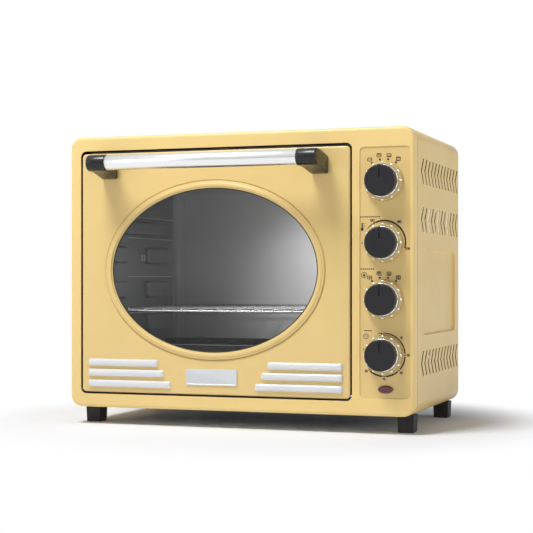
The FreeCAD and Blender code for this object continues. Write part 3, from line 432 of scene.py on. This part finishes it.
# dark strip lining the opening of the front frame: painted shade in the door gap
ol, orr, oz0, oz1 = dx0 - 2.6, dx1 + 2.6, dz0 - 2.6, dz1 + 2.6
strip = [(1.0, -0.02), (1.0, 0.35), (15.7, 0.35), (15.7, -0.02)]
v, f = stack([[P(x, y, z) for x, z in rounded(ol, orr, oz0, oz1, 8.0, s)] for y, s in strip])
mesh_piece("opening_painted_shade", v, f, gap_painted_shade, "housing", 60)

# black silicone bead between the port's edge and the glass
BEAD = [(0.3, 0.78), (-0.9, 0.78), (-1.3, 0.5), (-1.2, 0.1), (-0.6, -0.1), (-0.1, 0.1), (0.0, 0.4)]
v, f = stack([[P(x, y, z) for x, z in oval(s)] for s, y in BEAD])
seal_black = plastic("silicone_bead", (0.02, 0.02, 0.02, 1), rough=(0.4, 0.5))
mesh_piece("port_bead", v, f, seal_black, "door", 60)

# ---------------------------------------------------------------- handle

hx0, hx1, hy0, hy1, hz0, hz1 = mm_box("handle_tube")
TY, TZ = (hy0 + hy1) / 2, (hz0 + hz1) / 2


def xlathe(profile, y, z, segs=96, caps=True):
    loops = [[P(x, y + r * math.cos(TAU * j / segs), z + r * math.sin(TAU * j / segs)) for j in range(segs)] for x, r in profile]
    vv, ff = stack(loops, closed=False)
    if caps:
        ff.append(tuple(range(segs)))
        ff.append(tuple((len(profile) - 1) * segs + j for j in range(segs)))
    return vv, ff


v, f = xlathe([(hx0, 9.0), (hx0, 10.1), (hx0 + 0.3, 10.35), (hx1 - 0.3, 10.35), (hx1, 10.1), (hx1, 9.0)], TY, TZ, 128)
tube = mesh_piece("handle_bar_tube", v, f, tube_alu, "door", 40)
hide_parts("handle_tube")


def bracket(name, node, outer_x, cap_in, foot_in):
    """Moulded bracket: a round cap on the tube's end, running back and down to a foot on the door."""
    d = 1 if cap_in > outer_x else -1
    cap_r = 11.25
    cap_prof = [(outer_x + d * 8, cap_r - 3), (outer_x + d * 8, cap_r), (cap_in - d * 0.8, cap_r), (cap_in - d * 0.2, cap_r - 0.25), (cap_in, cap_r - 0.8)]
    parts = [xlathe(cap_prof, TY, TZ, 96)]
    # arm: side outlines at several stations across x, rounded on both long edges
    lowz, highz = 318.2, 342.5

    def outline(grow):
        pts = []
        base = [(-30, TZ + cap_r - 0.9 + grow), (-12, highz + 2.0 + grow * 0.8), (-4.0, highz + 0.3 + grow * 0.5), (-1.2, highz - 0.5 + grow * 0.4),
                (-0.05, highz - 1.8 + grow * 0.4)]
        low = [(-0.05, lowz + 1.4 - grow * 0.3), (-0.9, lowz + 0.4 - grow * 0.3), (-2.6, lowz - grow * 0.3), (-8, lowz + 1.0 - grow * 0.6),
               (-22, TZ - cap_r - 3.0 - grow * 0.8), (TY + 9, TZ - cap_r - 0.2 - grow)]
        nose = []
        for i in range(25):
            a = math.radians(265 - (265 - 85) * i / 24)
            nose.append((TY + (cap_r + grow) * math.cos(a), TZ + (cap_r + grow) * math.sin(a)))
        return base + low + nose
    r = 2.4
    stations = []
    for i in range(6):
        a = math.radians(90 * i / 5)
        stations.append((outer_x + d * r * (1 - math.cos(a)), -r * (1 - math.sin(a))))
    # the inner side leans: wide at the cap, narrower at the foot
    inner = []
    for i in range(6):
        a = math.radians(90 * i / 5)
        inner.append((r * (1 - math.sin(a)), -r * (1 - math.cos(a))))
    loops_ = []
    for x, g in stations:
        loops_.append([P(x, y, z) for y, z in outline(g)])
    for dx, g in inner:
        lp = []
        for y, z in outline(g):
            lean = max(0.0, min(1.0, (-y) / 30.0)) * 5.0
            lp.append(P(foot_in + d * (lean - dx), y, z))
        loops_.append(lp)
    # order: outer face to inner face
    vv, ff = stack(loops_, closed=False)
    n = len(loops_[0])
    ff.append(tuple(range(n)))
    ff.append(tuple((len(loops_) - 1) * n + j for j in range(n)))
    parts.append((vv, ff))
    vv, ff = join(parts)
    o = mesh_piece(name, vv, ff, black_plastic, "door", 38)
    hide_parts(node)
    return o


lx0, lx1, _, _, _, _ = mm_box("handle_bracket_left")
rx0, rx1, _, _, _, _ = mm_box("handle_bracket_right")
bracket("handle_mount_left", "handle_bracket_left", lx0, hx0, -174.8)
bracket("handle_mount_right", "handle_bracket_right", rx1, hx1, 109.4)

# ---------------------------------------------------------------- white bars and badge


def dome_bar(x0, x1, zc, tall=10.2, proud=4.0):
    """Bar with a domed front and softly rounded ends."""
    hh = tall / 2
    loops_ = []
    levels = [(0.0, 0.0), (0.0, -0.5), (0.25, -1.6), (0.75, -2.5), (1.5, -3.2), (2.5, -3.7), (3.6, -3.93), (4.6, -4.0)]
    for inset, y in levels:
        inset = min(inset, hh - 0.25)
        loops_.append([P(x, y, z) for x, z in rounded(x0, x1, zc - hh, zc + hh, 3.0, inset, 10, 8)])
    vv, ff = stack(loops_, closed=False)
    n = len(loops_[0])
    ff.append(tuple(range(n)))
    ff.append(tuple((len(loops_) - 1) * n + j for j in range(n)))
    return vv, ff


def bars_from(node, name):
    """Read each bar's box from the CAD node's separate solids."""
    o = NODES[node]
    rows = {}
    for vert in o.data.vertices:
        x = (vert.co.x - X0) * 1000
        z = (vert.co.z - ZB) * 1000
        key = 0 if z > 56.5 else (1 if z > 41.5 else 2)
        r = rows.setdefault(key, [1e9, -1e9, 1e9, -1e9])
        r[0], r[1], r[2], r[3] = min(r[0], x), max(r[1], x), min(r[2], z), max(r[3], z)
    v_, f_ = join([dome_bar(r[0], r[1], (r[2] + r[3]) / 2, r[3] - r[2]) for r in rows.values()])
    p = mesh_piece(name, v_, f_, white_gloss, "door", 50)
    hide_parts(node)


bars_from("trim_bars_left", "speed_bars_left")
bars_from("trim_bars_right", "speed_bars_right")

bx0, bx1, by0, _, bz0, bz1 = mm_box("badge_plate")
lv = [(0, 0), (0, by0 + 0.5), (0.15, by0 + 0.15), (0.5, by0), (1.6, by0), (1.85, by0 + 0.12), (2.1, by0 + 0.3), (2.4, by0 + 0.35)]
loops_ = [[P(x, y, z) for x, z in rounded(bx0, bx1, bz0, bz1, 1.0, s, 12, 5)] for s, y in lv]
v, f = stack(loops_, closed=False)
n = len(loops_[0])
f.append(tuple(range(n)))
f.append(tuple((len(loops_) - 1) * n + j for j in range(n)))
badge = mesh_piece("badge_blank", v, f, badge_alu, "door", 30)
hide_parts("badge_plate")

# ---------------------------------------------------------------- knobs
KX = 207.0
KZ = {}
for k in "abcd":
    c0 = mm_box("knob_%s_cap" % k)
    KZ[k] = (c0[4] + c0[5]) / 2
    KX = (c0[0] + c0[1]) / 2
    CAP_Y0, CAP_Y1 = c0[2], c0[3]


def knob_cap(x, z, front, back, R=20.5):
    segs, verts, faces = 240, [], []
    prof = [(R - 0.5, back), (R - 0.1, back - 0.25), (R, back - 0.8), (R, front + 2.4), (R - 0.18, front + 1.5), (R - 0.7, front + 0.75), (R - 1.5, front + 0.25),
            (R - 2.4, front + 0.02), (R - 3.2, front), (R - 3.8, front + 0.08)]
    radial = [R - 4.4 - i * (R - 5.2) / 22 for i in range(23)]
    dish = lambda r: 0.08 + 0.45 * (1 - (r / (R - 3.2)) ** 2)
    prof += [(r, front + dish(r)) for r in radial]
    for r, y in prof:
        for j in range(segs):
            a = TAU * j / segs
            px, pz = r * math.cos(a), r * math.sin(a)
            yy = y
            if pz > 2.0 and y < front + 1.4:
                half = 0.35 + max(0.0, pz - 2.0) / (R - 4.0) * 2.3
                fade = min(1.0, max(0.0, (R - 0.9 - pz) / 1.5))
                k_ = max(0.0, 1 - abs(px) / half) if half > 0 else 0
                start = min(1.0, (pz - 2.0) / 2.0)
                yy = y + 1.5 * min(1.0, k_ * 1.6) * fade * start
            verts.append(P(x + px, yy, z + pz))
    for i in range(len(prof) - 1):
        for j in range(segs):
            k2 = (j + 1) % segs
            faces.append((i * segs + j, i * segs + k2, (i + 1) * segs + k2, (i + 1) * segs + j))
    faces.append(tuple(range(segs)))
    faces.append(tuple((len(prof) - 1) * segs + j for j in range(segs)))
    return verts, faces


for k in "abcd":
    z = KZ[k]
    body = "knob_" + k
    v, f = knob_cap(KX, z, CAP_Y0, CAP_Y1)
    p = mesh_piece("dial_cap_" + k, v, f, knob_black, body, 42)
    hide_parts("knob_%s_cap" % k)
    s0 = mm_box("knob_%s_skirt" % k)
    yb, yt = s0[3], s0[2]
    prof = [(8.0, yb), (25.8, yb), (26.2, yb - 0.4), (26.2, yb - 1.7), (25.95, yb - 2.2), (25.65, yb - 2.5), (25.5, yb - 4.6), (25.4, yb - 6.2), (25.15, yb - 7.0),
            (24.7, yb - 7.6), (23.8, yb - 8.2), (23.1, yb - 8.9), (22.8, yb - 9.2), (21.0, yb - 9.2), (8.0, yb - 9.2)]
    v, f = lathe(prof, KX, z, 144)
    bits = [(v, f)]
    # little tabs that reach over the bright ring
    for j in range(12):
        a = TAU * j / 12
        ca, sa = math.cos(a), math.sin(a)
        tx, tz = -sa, ca
        pts = []
        for (r, y) in ((20.2, yb - 10.9), (21.6, yb - 10.9), (22.2, yb - 10.2), (22.6, yb - 8.8), (20.2, yb - 8.8)):
            for w in (-0.55, 0.55):
                pts.append(P(KX + r * ca + w * tx, y, z + r * sa + w * tz))
        fs = []
        for i in range(5):
            q = (i + 1) % 5
            fs.append((2 * i, 2 * i + 1, 2 * q + 1, 2 * q))
        fs.append((0, 2, 4, 6, 8))
        fs.append((1, 3, 5, 7, 9))
        bits.append((pts, fs))
    v, f = join(bits)
    p = mesh_piece("dial_skirt_" + k, v, f, knob_cream, body, 45)
    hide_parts("knob_%s_skirt" % k)
    bits = [lathe([(19.0, yb - 9.2), (21.0, yb - 9.2), (21.35, yb - 9.5), (21.45, yb - 10.0), (21.2, yb - 10.5), (20.7, yb - 10.7), (19.0, yb - 10.7)], KX, z, 144)]
    for j in range(12):
        a = TAU * j / 12
        sx, sz = KX + 24.4 * math.cos(a), z + 24.4 * math.sin(a)
        nrm = (0.55 * math.cos(a), -0.83, 0.55 * math.sin(a))
        rings = []
        ux = Vector((-math.sin(a), 0, math.cos(a)))
        nv = Vector(nrm).normalized()
        wv = nv.cross(ux)
        c = P(sx, yb - 7.7, sz)
        rr = 0.00155
        pv, pf = [], []
        for i, (q, hgt) in enumerate(((1.0, -0.0008), (1.0, 0.0003), (0.88, 0.0007), (0.6, 0.001), (0.25, 0.00115))):
            for t in range(20):
                b_ = TAU * t / 20
                pv.append(c + nv * hgt + (ux * math.cos(b_) + wv * math.sin(b_)) * rr * q)
        for i in range(4):
            for t in range(20):
                u = (t + 1) % 20
                pf.append((i * 20 + t, i * 20 + u, (i + 1) * 20 + u, (i + 1) * 20 + t))
        pf.append(tuple(range(20)))
        pf.append(tuple(80 + t for t in range(20)))
        bits.append((pv, pf))
    v, f = join(bits)
    p = mesh_piece("dial_ring_" + k, v, f, ring_chrome, body, 45)
    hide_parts("knob_%s_trim" % k)

# ---------------------------------------------------------------- printed marks on the fascia
fy = mm_box("control_fascia")[2]
INK_Y0, INK_Y1 = fy - 0.06, fy + 0.02


def slab(pts):
    n_ = len(pts)
    v_ = [P(x, INK_Y1, z) for x, z in pts] + [P(x, INK_Y0, z) for x, z in pts]
    f_ = [tuple(range(n_)), tuple(range(2 * n_ - 1, n_ - 1, -1))]
    for i in range(n_):
        q = (i + 1) % n_
        f_.append((i, n_ + i, n_ + q, q))
    return v_, f_


def disc(x, z, r, n_=28):
    return slab([(x + r * math.cos(TAU * i / n_), z + r * math.sin(TAU * i / n_)) for i in range(n_)])


def line(x0, z0, x1, z1, w):
    dx, dz = x1 - x0, z1 - z0
    ln = math.hypot(dx, dz)
    nx, nz = -dz / ln * w / 2, dx / ln * w / 2
    return slab([(x0 + nx, z0 + nz), (x0 - nx, z0 - nz), (x1 - nx, z1 - nz), (x1 + nx, z1 + nz)])


def clock(cx, cz, r, deg):
    a = math.radians(deg)
    return cx + r * math.sin(a), cz + r * math.cos(a)


def arc(cx, cz, r, d0, d1, w, w2=None):
    w2 = w if w2 is None else w2
    n_ = max(4, int(abs(d1 - d0) / 4))
    v_, f_ = [], []
    for i in range(n_ + 1):
        t = i / n_
        d = d0 + (d1 - d0) * t
        ww = w + (w2 - w) * t
        for y in (INK_Y1, INK_Y0):
            for rr in (r - ww / 2, r + ww / 2):
                x, z = clock(cx, cz, rr, d)
                v_.append(P(x, y, z))
    for i in range(n_):
        a, b = 4 * i, 4 * (i + 1)
        f_ += [(a, a + 1, b + 1, b), (a + 2, b + 2, b + 3, a + 3), (a, b, b + 2, a + 2), (a + 1, a + 3, b + 3, b + 1)]
    f_ += [(0, 2, 3, 1), (4 * n_, 4 * n_ + 1, 4 * n_ + 3, 4 * n_ + 2)]
    return v_, f_


def ring(cx, cz, r, w):
    v_, f_ = [], []
    n_ = 40
    for i in range(n_):
        a = TAU * i / n_
        for y in (INK_Y1, INK_Y0):
            for rr in (r - w / 2, r + w / 2):
                v_.append(P(cx + rr * math.cos(a), y, cz + rr * math.sin(a)))
    for i in range(n_):
        a, b = 4 * i, 4 * ((i + 1) % n_)
        f_ += [(a, a + 1, b + 1, b), (a + 2, b + 2, b + 3, a + 3), (a, b, b + 2, a + 2), (a + 1, a + 3, b + 3, b + 1)]
    return v_, f_


def frame_icon(cx, cz, top, low, wave=False):
    """Small oven pictogram, with bars for the heat that is on."""
    a_, b_ = 2.7, 2.0
    out = [line(cx - a_, cz - b_, cx - a_, cz + b_, 1.0), line(cx + a_, cz - b_, cx + a_, cz + b_, 1.0),
           line(cx - a_, cz + b_, cx + a_, cz + b_, 1.5 if top else 0.8), line(cx - a_, cz - b_, cx + a_, cz - b_, 1.5 if low else 0.8),
           line(cx - 0.9, cz - 0.9, cx - 0.9, cz + 0.9, 0.6), line(cx + 0.9, cz - 0.9, cx + 0.9, cz + 0.9, 0.6)]
    if wave:
        out.append(disc(cx, cz, 1.0, 12))
    return out


SEG = {"0": "abcdef", "1": "bc", "2": "abged", "3": "abgcd", "4": "fgbc", "5": "afgcd", "6": "afgedc", "7": "abc", "8": "abcdefg", "9": "abcdfg"}


def number(text, cx, cz, tall=3.0, w=0.78):
    """Plain numerals drawn with straight strokes."""
    wide, gap = tall * 0.52, tall * 0.28
    total = len(text) * wide + (len(text) - 1) * gap
    out = []
    x = cx - total / 2
    for ch in text:
        l_, r_, t_, m_, b_ = x, x + wide, cz + tall / 2, cz, cz - tall / 2
        seg = {"a": (l_, t_, r_, t_), "b": (r_, t_, r_, m_), "c": (r_, m_, r_, b_), "d": (l_, b_, r_, b_), "e": (l_, m_, l_, b_), "f": (l_, t_, l_, m_), "g": (l_, m_, r_, m_)}
        for s_ in SEG[ch]:
            out.append(line(*seg[s_], w))
        x += wide + gap
    return out


marks = []
za, zb, zc, zd = KZ["a"], KZ["b"], KZ["c"], KZ["d"]
for zz, icons in ((za, ((0, 0, 0), (1, 0, 0), (0, 1, 0), (1, 1, 0))), (zc, ((0, 0, 1), (1, 0, 1), (0, 1, 1), (1, 1, 1)))):
    for d, ic in zip((-33.75, -11.25, 11.25, 33.75), icons):
        marks.append(disc(*clock(KX, zz, 28.9, d), 1.45))
        marks += frame_icon(*clock(KX, zz, 34.4, d), *ic)
marks.append(arc(KX, zb, 28.9, -50, -30, 0.9, 1.4))
marks.append(arc(KX, zb, 28.9, -24, 33, 2.1, 2.4))
marks.append(arc(KX, zb, 28.9, 38, 99, 2.3, 1.9))
for d in (-27, 35.5, 102):
    marks.append(disc(*clock(KX, zb, 28.9, d), 1.25))
for d, tx in ((-29, "100"), (36, "180")):
    marks += number(tx, *clock(KX, zb, 33.6, d))
x_, z_ = clock(KX, zb, 33.4, 103)
marks += number("230", x_ - 0.9, z_ - 0.4, 2.6)
marks.append(disc(*clock(KX, zb, 28.9, -90), 0.9))
# thermometer
marks += [line(177.6, 244.6, 177.6, 252.6, 1.7), disc(177.6, 244.2, 2.0), line(179.4, 247.4, 181.2, 247.4, 0.7), line(179.4, 249.6, 181.2, 249.6, 0.7),
          line(179.4, 251.8, 181.2, 251.8, 0.7)]
# heat symbol: ring with a drop
marks.append(ring(180.2, 184.2, 3.5, 0.75))
marks.append(slab([(180.2, 186.8), (181.4, 184.8), (181.7, 183.5), (181.1, 182.4), (180.2, 182.0), (179.3, 182.4), (178.7, 183.5), (179.0, 184.8)]))
# timer: an arc that thickens clockwise
for i in range(5):
    w0 = 1.4 + 0.2 * i
    marks.append(arc(KX, zd, 28.2, 45 * i + 4, 45 * i + 41, w0, w0 + 0.2))
for i, d in enumerate((0, 45, 90, 135, 180, 225)):
    marks.append(disc(*clock(KX, zd, 28.2, d), 1.05))
for d, tx in ((45, "10"), (90, "20"), (135, "30"), (180, "45"), (228, "60")):
    marks += number(tx, *clock(KX, zd, 32.2 if d != 180 else 31.6, d), 2.6)
marks += [line(KX - 6.4, zd + 27.8, KX - 2.2, zd + 27.8, 1.2), disc(*clock(KX, zd, 28.2, -76), 0.9)]
marks.append(ring(182.7, 104.2, 3.2, 0.75))
marks += [line(182.7, 104.2, 182.7, 106.3, 0.7), line(182.7, 104.2, 184.2, 104.2, 0.7)]
# plain dashes in place of captions
for x_, z_, n_ in ((175.0, 260.4, 10), (175.4, 192.2, 7), (180.2, 111.6, 4)):
    for i in range(n_):
        marks.append(line(x_ + 2.75 * i, z_, x_ + 2.75 * i + 1.9, z_, 1.5))
v, f = join(marks)
mesh_piece("dial_marks", v, f, print_black, "housing", 30, recalc=True)

# centre of the pilot lens, read from its box
lx, lz = 209.3, 35.3
lb = mm_box("pilot_lens")
lx, lz = (lb[0] + lb[1]) / 2, (lb[4] + lb[5]) / 2

# ---------------------------------------------------------------- casing and cavity details


def block(x0, x1, y0, y1, z0, z1):
    v_ = [P(x, y, z) for z in (z0, z1) for y in (y0, y1) for x in (x0, x1)]
    return v_, [(0, 1, 3, 2), (4, 6, 7, 5), (0, 4, 5, 1), (2, 3, 7, 6), (0, 2, 6, 4), (1, 5, 7, 3)]


# embossed beads on the left cavity wall and thin strips along its back corner, coloured in a steel much brighter than
# the walls: painted highlights
bits = [block(-199.9, -198.9, 253.6, 255.4, 39, 344), block(-190.8, -189.6, 260.2, 261.8, 39, 344), block(-182.8, -181.8, 260.6, 261.8, 39, 344),
        block(-199.9, -199.0, 134.5, 139.5, 205.6, 215.6), block(-199.9, -199.0, 143.5, 148.5, 205.6, 215.6)]
for z_ in (183.0, 239.7, 270.5):
    bits.append(block(-199.9, -198.6, 84, 250, z_ - 0.6, z_ + 0.6))
rk = mm_box("wire_rack")
tips = []
for k_ in range(1, 12):
    cx_ = rk[0] + 2.0 + (rk[1] - rk[0] - 4.0) * k_ / 12.0
    loop_ = []
    for z_, r_ in ((rk[4] + 7.0, 0.9), (rk[4] + 12.0, 0.9), (rk[4] + 12.5, 0.5)):
        loop_.append([P(cx_ + r_ * math.cos(TAU * j / 12), rk[2] + 1.2 + r_ * math.sin(TAU * j / 12), z_) for j in range(12)])
    vv_, ff_ = stack(loop_, closed=False)
    ff_.append(tuple(range(12)))
    ff_.append(tuple(24 + j for j in range(12)))
    tips.append((vv_, ff_))
v, f = join(tips)
mesh_piece("rack_wire_tips", v, f, rack_chrome, "rack", 40)

# thin bright strip along the tray's front rim: painted highlight
bt = mm_box("baking_tray")
v, f = block(bt[0] + 12, bt[1] - 12, bt[2] + 0.1, bt[2] + 1.3, bt[5] - 0.3, bt[5] + 0.5)
rim_painted_highlight = metal("tray_rim_painted_highlight", (0.45, 0.45, 0.46, 1), (0.3, 0.4), grain=900.0, grain_depth=0.00001, metallic=0.5)
mesh_piece("tray_rim_highlight_strip", v, f, rim_painted_highlight, "tray", 30)

v, f = join(bits)
bead_painted_highlight = metal("bead_painted_highlight", (0.62, 0.62, 0.62, 1), (0.3, 0.4), grain=900.0, grain_depth=0.00001, metallic=0.5)
mesh_piece("cavity_beads_painted_highlight", v, f, bead_painted_highlight, "housing", 30)

# dark band behind the seam between frame and wrap: painted shade in the seam
hb = mm_box("housing_wrap")
sm = []
for y, s in ((16.5, 1.15), (16.5, 1.6), (22.0, 1.6), (22.0, 1.15)):
    sm.append([P(x, y, z) for x, z in rounded(hb[0], hb[1], hb[4], hb[5], 16.0, s)])
v, f = stack(sm)
seam_dark = plastic("seam_shadow", (0.10, 0.07, 0.03, 1), rough=(0.6, 0.7), grain=500.0)
mesh_piece("seam_painted_shade", v, f, seam_dark, "housing", 60)

# ---------------------------------------------------------------- stage, light and camera


def plane(name, verts, mat):
    me = bpy.data.meshes.new(name)
    me.from_pydata(verts, [], [tuple(range(len(verts)))])
    o = bpy.data.objects.new(name, me)
    bpy.context.scene.collection.objects.link(o)
    me.materials.append(mat)
    return o


m = Mat("floor_white").set(Roughness=0.75)
m.colour(m.noise(2.0, 2.0).outputs[0], (0.90, 0.92, 0.96, 1), (0.92, 0.94, 0.98, 1))
m.p.inputs["Specular IOR Level"].default_value = 0.1
gy = m.t.nodes.new("ShaderNodeVectorMath")
gy.operation = "LENGTH"
m.t.links.new(m.co.outputs["Object"], gy.inputs[0])
fade = m.t.nodes.new("ShaderNodeMapRange")
fade.interpolation_type = "SMOOTHSTEP"
fade.inputs["From Min"].default_value = 0.28
fade.inputs["From Max"].default_value = 0.47
m.t.links.new(gy.outputs["Value"], fade.inputs["Value"])
glow = m.t.nodes.new("ShaderNodeEmission")
mixer = m.t.nodes.new("ShaderNodeMixShader")
out_ = [n_ for n_ in m.t.nodes if n_.type == "OUTPUT_MATERIAL"][0]
m.t.links.new(fade.outputs[0], mixer.inputs[0])
m.t.links.new(m.p.outputs[0], mixer.inputs[1])
m.t.links.new(glow.outputs[0], mixer.inputs[2])
m.t.links.new(mixer.outputs[0], out_.inputs[0])
plane("floor", [(-30, -30, 0), (30, -30, 0), (30, 30, 0), (-30, 30, 0)], m.m)

world = bpy.data.worlds.new("studio")
bpy.context.scene.world = world
world.use_nodes = True
wt = world.node_tree
bg = wt.nodes["Background"]
bg.inputs[0].default_value = (1, 1, 1, 1)
lp = wt.nodes.new("ShaderNodeLightPath")
glossy = wt.nodes.new("ShaderNodeMath")
glossy.operation = "MULTIPLY_ADD"
glossy.inputs[1].default_value = 0.56
glossy.inputs[2].default_value = 0.19
wt.links.new(lp.outputs["Is Glossy Ray"], glossy.inputs[0])
direct = wt.nodes.new("ShaderNodeMath")
direct.operation = "MULTIPLY_ADD"
direct.inputs[1].default_value = 0.81
wt.links.new(lp.outputs["Is Camera Ray"], direct.inputs[0])
wt.links.new(glossy.outputs[0], direct.inputs[2])
wt.links.new(direct.outputs[0], bg.inputs[1])


def area(name, loc, target, size, power, size_y=None, colour=(1, 1, 1)):
    l = bpy.data.lights.new(name, "AREA")
    l.energy = power
    l.size = size
    l.color = colour
    if size_y:
        l.shape = "RECTANGLE"
        l.size_y = size_y
    o = bpy.data.objects.new(name, l)
    o.location = loc
    d = Vector(target) - Vector(loc)
    o.rotation_euler = d.to_track_quat("-Z", "Y").to_euler()
    bpy.context.scene.collection.objects.link(o)
    return o


area("top_front", (-0.48, -1.10, 2.30), (0, 0, 0.2), 0.8, 49)
area("left_soft", (-2.1, -2.0, 1.0), (0, 0, 0.2), 1.4, 7)
area("right_fill", (2.6, -0.9, 1.3), (0.2, 0, 0.2), 1.6, 11)

# lamp for the picture only: lights the right half of the back wall
sl = bpy.data.lights.new("cavity_lamp", "SPOT")
sl.energy = 3.6
sl.spot_size = math.radians(84)
sl.spot_blend = 1.0
sl.shadow_soft_size = 0.03
so = bpy.data.objects.new("cavity_lamp", sl)
so.location = P(112, 50, 318)
so.rotation_euler = (Vector(P(105, 262, 170)) - Vector(P(112, 50, 318))).to_track_quat("-Z", "Y").to_euler()
bpy.context.scene.collection.objects.link(so)

# dark card behind the camera, seen only in reflections
card = Mat("studio_card").set(Roughness=0.9)
card.p.inputs["Base Color"].default_value = (0.03, 0.03, 0.03, 1)
cd = plane("reflection_card", [(-4, -3.2, 0.28), (4, -3.2, 0.28), (4, -3.2, 0.62), (-4, -3.2, 0.62)], card.m)
cd.visible_camera = False
cd.visible_diffuse = False
cd.visible_shadow = False
cd.visible_transmission = False

sc = bpy.context.scene
sc.view_settings.view_transform = "Standard"
sc.view_settings.look = "None"
sc.view_settings.exposure = 0.0
sc.view_settings.gamma = 1.0

cam = bpy.data.cameras.new("camera")
cam.sensor_width = 36
cam.lens = 94.0
cam.shift_y = 0.02345
cam.clip_start = 0.05
cam.clip_end = 100
co = bpy.data.objects.new("camera", cam)
co.location = P(664.06, -1759.15, 179.17)
co.rotation_euler = (math.pi / 2, 0, math.radians(19.38))
sc.collection.objects.link(co)
sc.camera = co
